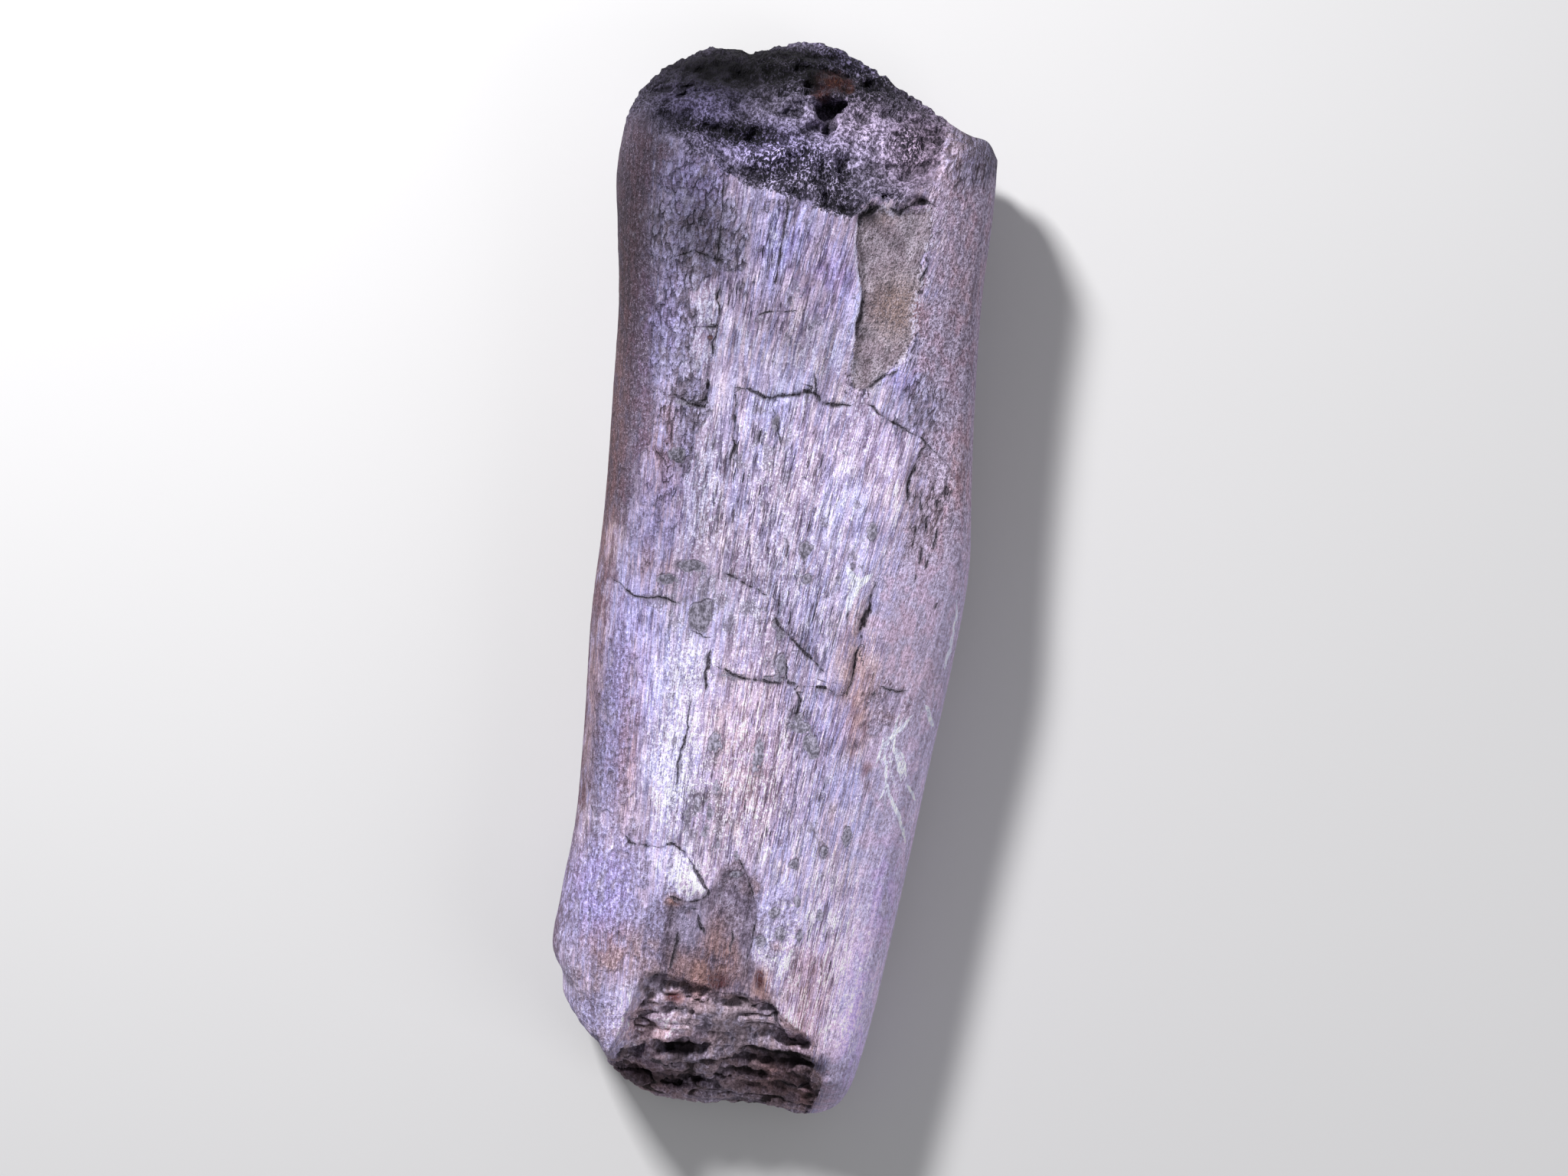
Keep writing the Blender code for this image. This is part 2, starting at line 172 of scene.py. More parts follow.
# Open cracks in the front: the points of each, its half width and its depth.
CRACKS = [
    ([(-13, 302), (-13, 285), (-15, 262), (-20, 240)], 0.8, 2.0),
    ([(-66, 312), (-64, 280), (-66, 250), (-64, 232)], 0.6, 1.5),
    ([(-62, 232), (-61, 207), (-62, 186), (-64, 164)], 0.6, 1.5),
    ([(-64, 168), (-65, 150), (-62, 131)], 1.8, 4.0),
    ([(-42, 142), (-41, 120), (-40, 103), (-43, 84)], 1.1, 2.5),
    ([(-13, 134), (-8, 122), (-2, 104)], 0.8, 2.0),
    ([(18, 162), (20, 150), (26, 139)], 0.7, 2.0),
    ([(-45, -60), (-45, -76), (-46, -94)], 1.1, 2.5),
    ([(-56, -96), (-58, -128), (-62, -160), (-62, -180)], 0.5, 1.5),
    ([(81, 6), (79, -10), (76, -28), (74, -44), (71, -60), (69, -74), (66, -90)], 1.5, 3.5),
    ([(74, -46), (79, -56)], 0.7, 1.5),
    ([(43, 280), (45, 288), (50, 295), (58, 298)], 2.6, 4.0),
    ([(66, 298), (74, 295), (80, 300), (88, 303), (96, 306), (104, 303)], 1.5, 3.0),
    ([(66, 20), (62, -10), (60, -40)], 0.5, 1.5),
    ([(133, 95), (130, 82), (125, 66)], 1.5, 2.5),
    ([(122, 92), (121, 80)], 0.8, 1.5),
    ([(118, 60), (117, 44)], 0.9, 1.5),
    ([(109, 52), (108, 30)], 0.9, 1.5),
    ([(128, 50), (126, 34)], 0.8, 1.5),
    ([(115, 36), (114, 20)], 0.8, 1.5),
    ([(139, 60), (137, 48)], 0.8, 1.5),
    ([(-8, -224), (-2, -232), (4, -246), (8, -262)], 0.8, 2.0),
    ([(-85, -362), (-73, -357), (-62, -352), (-48, -350), (-38, -347)], 1.0, 2.5),
    ([(18, -58), (17, -80)], 0.9, 2.0),
    ([(24, -84), (28, -93), (28, -112)], 1.2, 2.5),
    ([(-37, -270), (-36, -276), (-31, -286)], 1.0, 2.0),
    ([(-51, -284), (-50, -300), (-54, -318)], 0.8, 2.0),
    ([(-8, -280), (-8, -300)], 0.5, 1.0),
    ([(9, -268), (9, -287), (6, -302)], 1.0, 2.5),
    ([(112, 116), (106, 102), (102, 86), (99, 68)], 1.3, 2.5),
    ([(-44, 146), (-30, 145), (-18, 141), (0, 145), (15, 148), (22, 145), (25, 140), (38, 139), (53, 142)],
     1.3, 3.0),
    ([(60, 154), (66, 160), (74, 165), (84, 172)], 1.1, 2.0),
    ([(53, 141), (62, 143), (72, 137), (85, 130), (105, 121), (113, 115), (125, 105), (138, 94)], 0.8, 2.0),
    ([(-130, -12), (-107, -24), (-82, -24), (-68, -28)], 0.6, 1.5),
    ([(-37, 0), (-22, -6), (-11, -11), (-3, -15)], 1.1, 3.0),
    ([(-1, -13), (6, -19), (4, -30), (12, -40), (22, -50), (33, -59), (41, -67), (49, -73)], 1.0, 2.5),
    ([(-42, -72), (-30, -77), (-11, -82), (-3, -82), (18, -82), (32, -83), (45, -84), (67, -89)], 1.1, 2.5),
    ([(88, -81), (86, -90), (81, -99)], 0.7, 1.5),
    ([(92, -78), (96, -80), (104, -81), (115, -81)], 0.45, 1.0),
    ([(-62, -48), (-45, -51)], 0.6, 1.5),
    ([(-106, -209), (-96, -219), (-70, -222), (-60, -217), (-46, -228), (-40, -232)], 0.9, 2.5),
    ([(-42, -230), (-36, -242), (-27, -254), (-34, -260)], 1.4, 3.0),
    ([(-34, -260), (-48, -262), (-62, -257)], 0.7, 2.0),
    ([(-30, 204), (-16, 208), (2, 211)], 0.7, 1.5),
    ([(-82, 190), (-60, 193)], 0.5, 1.0),
    ([(11, -341), (23, -338), (29, -342), (38, -356), (47, -367), (62, -367)], 1.2, 3.0),
    ([(40, -407), (54, -407), (70, -403)], 0.8, 2.0),
    ([(-94, -399), (-81, -395), (-60, -396), (-40, -400)], 0.9, 2.5),
    ([(100, 262), (98, 250), (95, 240)], 0.8, 1.5),
    ([(53, 232), (53, 218), (50, 204), (50, 192)], 1.4, 3.0),
    ([(-102, 244), (-84, 252), (-66, 244), (-50, 246)], 0.5, 1.5),
    ([(-95, 140), (-84, 134), (-72, 130), (-60, 129)], 0.9, 2.0),
    ([(130, -15), (133, -8)], 0.6, 1.0),
    ([(112, 80), (111, 64)], 0.8, 1.5),
    ([(105, 62), (104, 46)], 0.7, 1.5),
    ([(121, 32), (119, 17)], 0.8, 1.5),
    ([(113, 14), (112, 5)], 0.7, 1.2),
    ([(103, 38), (102, 24)], 0.6, 1.2),
    ([(134, 84), (132, 72)], 0.7, 1.2),
]

# Cracks in the back, which the photograph doesn't show.
BACK_CRACKS = [
    ([(-70, 210), (-48, 196), (-12, 202), (28, 190), (60, 196)], 0.9, 2.5),
    ([(14, 192), (10, 120), (16, 60), (8, -20)], 0.8, 2.0),
    ([(-90, -60), (-50, -74), (-8, -66), (40, -82), (84, -78)], 1.0, 2.5),
    ([(-40, -76), (-46, -140), (-38, -230)], 0.8, 2.0),
    ([(50, -84), (58, -160), (52, -250)], 0.7, 2.0),
]

# White scratches and smears on the right of the shaft. They have no depth.
SCRATCHES = [
    ([(120, -98), (113, -108), (105, -118), (98, -128)], 1.3, 0),
    ([(110, -98), (107, -112), (108, -128), (113, -140), (116, -154)], 1.2, 0),
    ([(98, -124), (103, -140), (103, -154), (110, -168), (117, -184), (124, -204)], 1.7, 0),
    ([(99, -118), (96, -130), (94, -142)], 1.0, 0),
    ([(112, -126), (116, -136), (119, -150)], 1.0, 0),
    ([(120, -154), (128, -168)], 1.3, 0),
    ([(104, -156), (99, -170)], 0.8, 0),
    ([(130, -90), (134, -98), (139, -108)], 1.8, 0),
    ([(148, -2), (147, -24), (145, -46), (142, -62)], 1.2, 0),
    ([(57, 13), (62, 7), (66, -2), (63, -11), (60, -24)], 3.8, 0),
    ([(76, 10), (71, 4), (66, -2)], 3.0, 0),
]

# Dabs of grey filler or rock: the middle of each, its half width and its half height.
DABS = [
    (23, 24, 6, 7), (74, 43, 5, 7), (63, 14, 2, 3), (28, 2, 4, 4), (6, -35, 4, 5), (10, -44, 4, 5),
    (-34, -134, 5, 9), (0, -140, 4, 16), (44, -134, 4, 7), (-67, -135, 2, 3), (75, -200, 4, 8),
    (58, -213, 3, 4.5), (-10, -236, 6, 3), (-56, -36, 9, 12), (-84, -8, 10, 4), (-64, 4, 12, 5),
    (-50, -26, 6, 5), (12, -68, 5, 9), (-24, -80, 12, 2.2), (6, -80, 9, 2.4), (30, -108, 5, 3),
    (30, -116, 10, 5), (40, -128, 6, 8), (24, -264, 4, 5), (31, -281, 4, 6), (15, -288, 4, 5),
    (46, -282, 3, 6), (61, -264, 3, 5), (42, -254, 4, 5), (36, -225, 4, 5), (-35, -188, 2.5, 8),
    (-52, -192, 2, 6), (-30, -168, 2, 6), (-44, -184, 3, 8), (-36, -204, 2, 6), (-24, -214, 2, 4),
    (-10, -222, 3, 3), (-84, 90, 7, 6), (-80, 132, 9, 2.5), (-9, 121, 3, 8),
]

# Soft spots of colour or tone over the front: the middle, half width, half height and strength.
BLOOM_SPOTS = [
    (64, 0, 6, 9, 1.0), (62, -15, 3, 7, 0.9), (106, -245, 7, 24, 0.8), (93, -345, 6, 60, 0.7),
    (-62, -80, 24, 34, 0.8), (-66, -150, 22, 60, 0.9), (26, -285, 18, 38, 0.7), (-46, -240, 18, 16, 0.4),
    (-72, 205, 13, 24, 0.7), (-78, 172, 20, 22, 0.6), (-60, 60, 22, 60, 0.6), (-20, 262, 10, 26, 0.7),
    (132, -86, 8, 14, 0.5), (128, -180, 6, 40, 0.3), (0, 20, 50, 120, 0.35), (-10, -170, 44, 60, 0.45),
    (62, 120, 32, 40, 0.3), (120, 140, 14, 20, 0.4), (-120, -250, 24, 50, 0.5), (20, 180, 36, 30, 0.3),
]
VIOLET_SPOTS = [
    (-114, -260, 32, 44, 0.9), (-108, 190, 22, 60, 0.6), (24, 240, 24, 34, 0.9), (-14, 262, 26, 36, 0.7),
    (-110, -90, 26, 110, 0.6), (-95, 60, 26, 70, 0.6), (-90, 305, 34, 24, 0.7), (96, -345, 12, 60, 0.7),
    (108, -240, 12, 40, 0.6), (68, 162, 8, 5, 1.0), (60, -110, 24, 24, 0.4), (70, 120, 30, 26, 0.4),
    (-40, -282, 14, 22, 1.0), (-84, 312, 26, 16, 0.7), (88, 166, 14, 14, 0.8), (-90, 372, 40, 30, 0.7),
    (-40, 340, 60, 24, 0.5), (30, 425, 40, 14, 0.5),
]
BROWN_SPOTS = [
    (76, -76, 22, 26, 0.7), (-140, 100, 16, 190, 0.8), (-136, -110, 9, 140, 0.7), (118, 52, 16, 36, 0.3),
    (-24, -320, 34, 20, 0.8), (-98, -306, 34, 24, 0.9), (18, -324, 8, 18, 0.9), (32, -290, 7, 6, 1.0),
    (75, -103, 5, 6, 0.9), (75, -132, 5, 6, 0.8), (88, -145, 5, 7, 0.7), (90, -158, 5, 6, 0.6),
    (140, 100, 12, 40, 0.5), (56, -340, 24, 70, 0.5), (110, -60, 30, 60, 0.3), (-20, -110, 30, 40, 0.3),
    (5, -120, 18, 30, 0.3), (100, -100, 24, 10, 0.4), (-70, -410, 40, 18, 0.6), (40, -400, 34, 26, 0.85),
    (-30, -290, 30, 30, 0.3), (132, 250, 18, 70, 0.25), (-85, -405, 14, 6, 0.5), (78, 220, 22, 28, 0.9),
    (60, 290, 14, 8, 0.4), (-24, -320, 8, 6, 1.0), (-12, -306, 14, 22, 0.9), (-46, -312, 16, 20, 0.7),
    (-118, -330, 14, 20, 0.6), (-60, -372, 50, 10, 0.4), (52, -415, 30, 14, 0.6), (-10, -150, 36, 80, 0.4),
    (-103, -130, 10, 80, 0.7), (-96, 100, 14, 44, 0.8), (-95, 0, 20, 20, 0.6), (-30, -318, 14, 26, 1.0),
    (-102, -312, 16, 24, 0.9), (20, -322, 8, 18, 1.0), (-48, -340, 9, 6, 1.0), (62, -412, 12, 16, 1.0),
    (70, -60, 16, 50, 0.8), (64, -196, 12, 26, 0.5), (76, -100, 12, 40, 0.9), (118, 60, 22, 44, 0.4),
    (-56, -262, 8, 5, 1.0), (-22, -300, 14, 34, 0.8), (22, -400, 40, 20, 0.5), (-60, -420, 40, 10, 0.6),
    (8, -245, 16, 12, 0.3), (36, -225, 16, 12, 0.4), (-70, -355, 30, 14, 0.3), (94, 350, 44, 44, 0.5),
    (40, 370, 40, 30, 0.25),
]
RUST_SPOTS = [
    (-66, 184, 2.6, 2.6, 1.0), (27, 398, 4, 9, 1.0), (13, 401, 19, 12, 0.85), (4, 388, 10, 6, 0.75),
    (-54, -262, 5, 3, 0.6), (-50, -339, 8, 5, 0.6), (17, -318, 5, 12, 0.6), (-16, -322, 14, 10, 0.5),
    (140, 92, 4, 7, 0.4),
]
# Painted shade and some dark stains: painted shadows in the ledges, pits, the deep hole and the hollows of
# the broken ends, and a few darker places on the shaft. The middle, half width, half height and strength.
PAINTED_SHADE_AND_STAIN_SPOTS = [
    (-80, 262, 30, 34, 0.35), (-62, 404, 66, 18, 0.8), (-56, 424, 16, 8, 0.9), (-24, 424, 24, 5, 0.6),
    (-4, 407, 6, 11, 1.0), (13, 358, 5, 8, 1.0), (43, 403, 9, 8, 0.9), (-100, 340, 30, 22, 0.3),
    (-44, 350, 34, 10, 0.5), (46, 402, 12, 9, 0.8), (-70, -408, 34, 9, 0.7), (46, -383, 30, 6, 0.8),
    (-40, -383, 18, 9, 0.7), (50, -364, 16, 4, 0.6), (51, 291, 6, 8, 1.0), (76, 299, 9, 4, 0.9),
    (90, 303, 6, 5, 0.9), (73, -100, 5, 5, 0.9), (76, -126, 5, 5, 0.8), (86, -146, 4, 6, 0.9),
    (89, -158, 3, 4, 0.7), (80, -112, 3, 6, 0.6), (90, 375, 4, 4, 0.7), (70, 345, 5, 5, 0.6),
    (-96, 246, 8, 14, 0.4), (118, 66, 9, 26, 0.15),
]
COARSE_SPOTS = [
    (-8, 322, 50, 24, 1.0), (-50, 345, 34, 14, 0.9), (78, 352, 12, 16, 0.8), (-94, 350, 20, 10, 0.7),
    (24, 300, 22, 16, 0.9), (10, 408, 80, 28, 0.85),
]
FIBROUS_SPOTS = [
    (20, -150, 45, 80, 1.0), (-10, 70, 60, 80, 0.9), (-20, 240, 60, 60, 0.9), (60, -335, 24, 80, 1.0),
    (-40, -180, 30, 50, 0.6), (56, 70, 24, 60, 0.4), (24, -30, 36, 50, 0.9), (-95, -60, 30, 120, 0.3),
]
BLOTCHED_SPOTS = [
    (-78, 105, 22, 50, 0.9), (-42, -178, 28, 46, 1.0), (30, -264, 20, 30, 1.0), (-10, 95, 34, 40, 0.5),
    (-60, -22, 40, 34, 0.9), (-76, 185, 16, 50, 0.7), (-10, -36, 20, 34, 0.7), (30, -112, 24, 20, 0.6),
    (10, 215, 40, 30, 0.5), (-80, 262, 24, 28, 0.8), (64, 20, 20, 36, 0.5), (60, -190, 24, 40, 0.5),
]

# Where the outer bone is broken into short flakes: the middle, half width, half height and strength.
SCALY_SPOTS = [
    (-88, 272, 34, 28, 1.0), (-78, 252, 34, 30, 1.0), (126, 352, 30, 34, 1.0), (-112, -270, 46, 84, 0.8),
    (-96, 190, 22, 60, 0.9), (-84, 130, 24, 34, 0.9), (-88, 305, 30, 26, 1.0), (-84, 96, 20, 24, 0.8),
    (-30, 292, 26, 10, 0.6), (-116, -130, 22, 90, 0.8), (-62, -292, 26, 50, 1.0), (-4, -262, 24, 40, 1.0),
    (30, -268, 20, 34, 0.8), (104, 145, 26, 30, 0.7), (116, 66, 16, 50, 0.55), (-100, 40, 22, 60, 0.5),
    (95, -90, 30, 30, 0.5), (-30, -315, 34, 24, 1.0), (-112, -372, 40, 40, 0.9), (-84, 262, 44, 44, 1.0),
]

# Paler (+) and darker (-) areas: the middle, half width, half height and natural log of the change in tone.
# They are partly the bone's own tone and partly painted light and shade: a painted pool of light low on the
# shaft, painted shade on the left flank and the upper left end, and painted shadows in the ledges, pits and
# hollows.
PAINTED_LIGHT_SHADE_AND_TONE_SPOTS = [
    (-138, 270, 34, 110, -1.0), (-92, 308, 44, 30, -0.55), (-80, 262, 30, 34, -0.35),
    (-10, 262, 80, 50, -0.35), (0, 182, 110, 34, -0.22), (-104, 90, 34, 60, -0.25),
    (-132, 70, 22, 90, -0.35), (-134, -120, 14, 90, -0.25), (70, 92, 44, 50, 0.22), (10, 90, 44, 50, 0.12),
    (-88, 20, 40, 50, -0.22), (118, 62, 20, 46, -0.25), (126, 275, 34, 90, 0.10), (-62, -336, 26, 14, 0.30),
    (136, 356, 30, 24, -0.75), (-112, -262, 40, 60, 0.22), (64, 12, 26, 44, 0.15), (70, 185, 30, 26, 0.12),
    (-55, -395, 50, 24, 0.25), (60, -402, 24, 14, -0.5), (128, -240, 14, 60, 0.05), (116, 62, 24, 60, 0.30),
    (70, 182, 20, 16, 0.25), (51, 289, 8, 7, -1.3), (76, 299, 9, 4, -0.8), (140, 66, 18, 60, 0.20),
    (60, 200, 60, 200, -0.06), (84, 345, 34, 34, 0.12), (-20, 424, 60, 8, -0.8), (-60, 406, 50, 7, -1.2),
    (130, 378, 14, 8, -0.4), (-66, 90, 16, 60, -0.15), (-140, 250, 30, 130, -0.25),
    (-80, 262, 34, 40, -0.25), (124, -140, 20, 60, 0.16), (46, -400, 44, 26, -0.5),
    (-50, -150, 36, 76, 0.30), (14, -150, 44, 80, 0.42), (-45, -242, 22, 20, 0.45),
    (70, -320, 34, 86, 0.56), (102, -320, 18, 90, 0.10), (60, 385, 26, 12, -0.35), (18, 398, 14, 12, -0.45),
    (-132, -130, 12, 80, -0.3), (0, 182, 60, 30, -0.12), (-30, 336, 40, 18, 0.30), (-98, 90, 16, 44, 0.12),
    (-62, -372, 36, 30, 0.35), (28, -285, 24, 45, 0.26), (-12, -150, 20, 50, 0.08),
    (-5, -265, 20, 36, -0.16), (-40, -298, 22, 34, -0.16), (126, 275, 30, 110, -0.26),
    (-8, -262, 18, 40, 0.15), (-80, 400, 66, 26, -2.4), (-40, 424, 70, 12, -1.3), (-4, 406, 7, 13, -1.4),
    (60, 392, 34, 18, -0.6), (-60, 352, 50, 8, -0.9), (-96, 370, 50, 24, -0.5), (16, 398, 20, 14, -0.3),
    (62, 404, 24, 18, -0.5), (-100, -380, 30, 24, -0.1), (34, -285, 22, 40, 0.10), (50, -384, 26, 5, -1.0),
    (-42, -386, 17, 8, -1.2), (-60, -415, 30, 7, -0.9), (-60, -368, 40, 16, 0.3), (28, -350, 22, 10, 0.2),
    (70, 235, 30, 60, 0.12), (70, 346, 60, 26, 0.22), (-20, 322, 60, 18, 0.20), (118, 352, 24, 12, 0.2),
    (-118, 352, 24, 30, -0.5), (-56, -362, 50, 26, 0.38), (40, -352, 30, 14, 0.35),
    (-60, -408, 44, 14, -0.5), (44, -382, 34, 6, -0.6), (-42, -383, 16, 9, -0.9), (40, -420, 50, 10, -0.2),
]

# Where the flanks begin, as (y, x): the smoother, browner sides of the bone.
LEFT_FLANK = [
    (-400, -150), (-200, -134), (0, -129), (60, -117), (150, -111), (230, -111), (300, -116), (400, -126),
]
RIGHT_FLANK = [
    (-400, 72), (-300, 84), (-200, 92), (-100, 92), (-60, 88), (0, 92), (60, 104), (120, 112), (160, 100),
    (220, 96), (300, 96), (330, 88), (400, 80),
]

# A distance given to places that are far outside a zone, or on the other side of the bone.
FAR_OUTSIDE = -20.0

# The soft spots, by the name of the fact that they make.
SOFT_SPOTS = {
    "bloom": BLOOM_SPOTS, "violet": VIOLET_SPOTS, "brown": BROWN_SPOTS, "rust": RUST_SPOTS, "dim": PAINTED_SHADE_AND_STAIN_SPOTS,
    "coarse": COARSE_SPOTS, "fibrous": FIBROUS_SPOTS, "blotched": BLOTCHED_SPOTS, "scaly": SCALY_SPOTS,
}

# The facts of the surface that the material reads.
MATERIAL_FACTS = (
    "spongy", "tan", "spalled", "dab", "crack", "crack_width", "scratch", "scratch_width", "bloom", "violet",
    "brown", "rust", "dim", "coarse", "fibrous", "blotched", "flank", "left", "cavity", "tone", "porous",
    "scaly", "lip", "faded_break", "rough_side", "crevice",
)

# Large odd numbers that mix the three numbers of a lattice point and a salt into one.
MIX_X, MIX_Y, MIX_Z, MIX_SALT, MIX_AGAIN = 73856093, 19349663, 83492791, 2654435761, 1274126177

# The fibres fan out: how far they lean at the middle, and how much more they lean per mm to the right.
GRAIN_LEAN = 0.115
GRAIN_FAN = 0.0011


def eased(t):
    """The smooth rise t * t * (3 - 2 * t) from 0 to 1."""
    return t * t * (3 - 2 * t)


def ramp(value, start, end):
    """0 before start and 1 after end, with a smooth rise between."""
    return eased(np.clip((value - start) / (end - start), 0, 1))


def through(stations, at):
    """The smooth curve through (position, value) stations: cubic pieces with slopes from the neighbours."""
    position, value = np.array(stations, float).T
    slope = np.gradient(value, position)
    at = np.clip(at, position[0], position[-1])
    k = np.clip(np.searchsorted(position, at, side="right") - 1, 0, len(position) - 2)
    gap = position[k + 1] - position[k]
    t = (at - position[k]) / gap
    rise = eased(t)
    ease_out = t * (1 - t) ** 2 * gap * slope[k]
    ease_in = t * t * (t - 1) * gap * slope[k + 1]
    return (1 - rise) * value[k] + rise * value[k + 1] + ease_out + ease_in


def passed_length(steps):
    """The length passed at each point of a line whose steps are given, from 0."""
    return np.append(0.0, np.cumsum(steps))


def along_edge(points, share):
    """Points at each share, 0 to 1, of the length of the smooth curve through an edge's points."""
    points = np.array(points, float)
    chord = passed_length(np.linalg.norm(np.diff(points, axis=0), axis=1))
    fine = np.linspace(0.0, chord[-1], 40 * len(points))
    curve = np.stack([through(np.stack([chord, points[:, c]], axis=1), fine) for c in (0, 1)], axis=1)
    length = passed_length(np.linalg.norm(np.diff(curve, axis=0), axis=1))
    wanted = np.asarray(share) * length[-1]
    return np.stack([np.interp(wanted, length, curve[:, c]) for c in (0, 1)], axis=-1)


def dome(across, squareness):
    """The height, 0 to 1, of a flattened half round over its width, where across runs from 0 to 1."""
    q = np.abs(2 * across - 1)
    return np.clip(1 - q ** squareness, 0, 1) ** (1 / squareness)


def column_places():
    """Shares across the bone whose points are evenly spaced over the curve of a middling section."""
    half_width, height, squareness = 148, 85, 2.55
    fine = (1 - np.cos(np.linspace(0, np.pi, 8001))) / 2
    x, z = 2 * half_width * fine, height * dome(fine, squareness)
    length = passed_length(np.hypot(np.diff(x), np.diff(z)))
    return np.interp(np.linspace(0, length[-1], FRONT_COLUMNS + 1), length, fine)


def row_places():
    """Shares along the bone, evenly spaced over the curve of its middle line, and closer together where
    ROW_DENSITY is higher."""
    fine = np.linspace(0, 1, 4001)
    x, y = over_outline(np.full(fine.shape, 0.5), fine).T
    z = (through(FRONT_HEIGHT, y) - through(RIM_HEIGHT, y)) * end_slopes(x, y)
    place, weight = np.array(ROW_DENSITY, float).T
    gathered = passed_length(np.hypot(np.diff(y), np.diff(z)) * np.interp(y[1:], place, weight))
    return np.interp(np.linspace(0, gathered[-1], FRONT_ROWS + 1), gathered, fine)


def over_outline(across, along):
    """Blends the four edges over the whole face: each point is the two edge blends less the corner blend."""
    u, v = across[..., None], along[..., None]
    left, right = along_edge(LEFT_EDGE, along), along_edge(RIGHT_EDGE, along)
    bottom, top = along_edge(BOTTOM_EDGE, across), along_edge(TOP_EDGE, across)
    low = (1 - u) * np.array(LEFT_EDGE[0]) + u * np.array(RIGHT_EDGE[0])
    high = (1 - u) * np.array(LEFT_EDGE[-1]) + u * np.array(RIGHT_EDGE[-1])
    corners = (1 - v) * low + v * high
    return (1 - u) * left + u * right + (1 - v) * bottom + v * top - corners


def lattice_value(i, j, k, salt=0):
    """A repeatable value from 0 to 1 at each point of a whole-number lattice."""
    n = (i * MIX_X) ^ (j * MIX_Y) ^ (k * MIX_Z) ^ (salt * MIX_SALT)
    n = ((n ^ (n >> 13)) & 0x7FFFFFFF) * MIX_AGAIN
    return ((n ^ (n >> 16)) & 0xFFFF) / 65535.0


def lumps(place, size):
    """Smooth random lumps from -1 to 1, of about the given size along x, y and z: lattice values blended
    between points. A number added to the place gives other lumps of the same kind."""
    cell = place / np.array(size)
    low = np.floor(cell).astype(np.int64)
    t = eased(cell - low)
    total = 0.0
    for corner in np.ndindex(2, 2, 2):
        weight = np.prod(np.where(corner, t, 1 - t), axis=-1)
        i, j, k = np.moveaxis(low + corner, -1, 0)
        total = total + weight * lattice_value(i, j, k)
    return 2 * total - 1


def round_lumps(place, size):
    """Lumps of one size each way."""
    return lumps(place, (size, size, size))


def ridges(place, size):
    """Sharp crests from -1 to 1, where lumps change sign: 1 less twice their size."""
    return 1 - 2 * np.abs(lumps(place, size))


def rough(place, size):
    """Lumps with others of half the size and half the height on them, kept to about -1 to 1."""
    size = np.array(size, float)
    return (lumps(place, size) + 0.5 * lumps(place + 131.7, size / 2)) / 1.5


def cells(place, size):
    """Random cells of about the given size: the distance to the nearest seed point in cell sizes, how much
    farther the second nearest is, and the nearest cell's own value, 0 to 1."""
    cell = place / np.array(size)
    low = np.floor(cell).astype(np.int64)
    first = np.full(cell.shape[:-1], 9.0)
    second = np.full(cell.shape[:-1], 9.0)
    value = np.zeros(cell.shape[:-1])
    for step in np.ndindex(3, 3, 3):
        i, j, k = np.moveaxis(low + step - 1, -1, 0)
        seed = np.stack([n + lattice_value(i, j, k, salt) for n, salt in ((i, 1), (j, 2), (k, 3))], -1)
        far = np.linalg.norm(cell - seed, axis=-1)
        second = np.minimum(second, np.maximum(first, far))
        value = np.where(far < first, lattice_value(i, j, k, 4), value)
        first = np.minimum(first, far)
    return first, second - first, value


def line_distance(x, y, points):
    """For each place, the distance to the nearest stretch of a line of points, which is positive on its right
    and negative on its left, and the share of the line's length passed there."""
    nearest = np.full(np.shape(x), np.inf)
    signed, share = np.zeros(np.shape(x)), np.zeros(np.shape(x))
    points = np.array(points, float)
    gaps = np.linalg.norm(np.diff(points, axis=0), axis=1)
    passed, total = 0.0, gaps.sum()
    for (ax, ay), (bx, by), gap in zip(points[:-1], points[1:], gaps):
        dx, dy = bx - ax, by - ay
        t = np.clip(((x - ax) * dx + (y - ay) * dy) / (gap * gap), 0, 1)
        far = np.hypot(x - ax - t * dx, y - ay - t * dy)
        side = np.where((x - ax) * dy - (y - ay) * dx < 0, -1.0, 1.0)
        closer = far < nearest
        signed = np.where(closer, side * far, signed)
        share = np.where(closer, (passed + t * gap) / total, share)
        nearest = np.minimum(nearest, far)
        passed += gap
    return signed, share


def patch_distance(x, y, corners):
    """The distance to a patch's edge, positive inside it and negative outside. A place is inside if a line to
    its left crosses the edge an odd number of times."""
    inside = np.zeros(np.shape(x), bool)
    for (ax, ay), (bx, by) in zip(corners, corners[1:] + corners[:1]):
        if ay != by:
            inside ^= ((ay > y) != (by > y)) & (x < (bx - ax) * (y - ay) / (by - ay) + ax)
    far = np.abs(line_distance(x, y, corners + corners[:1])[0])
    return np.where(inside, far, -far)


def painted_light_shade_and_tone_of(x, y):
    """The product of all soft changes in tone, which are partly painted light and shade: e to the power of
    the sum of each change times its bell curve, e to the minus square of the distance in half widths."""
    total = np.zeros(np.shape(x))
    for middle_x, middle_y, half_width, half_height, change in PAINTED_LIGHT_SHADE_AND_TONE_SPOTS:
        total += change * np.exp(-((x - middle_x) / half_width) ** 2 - ((y - middle_y) / half_height) ** 2)
    return np.exp(total)


def radii(x, y, middle_x, middle_y, half_width, half_height):
    """The distance from the middle of a spot, in its own radii."""
    return np.hypot((x - middle_x) / half_width, (y - middle_y) / half_height)


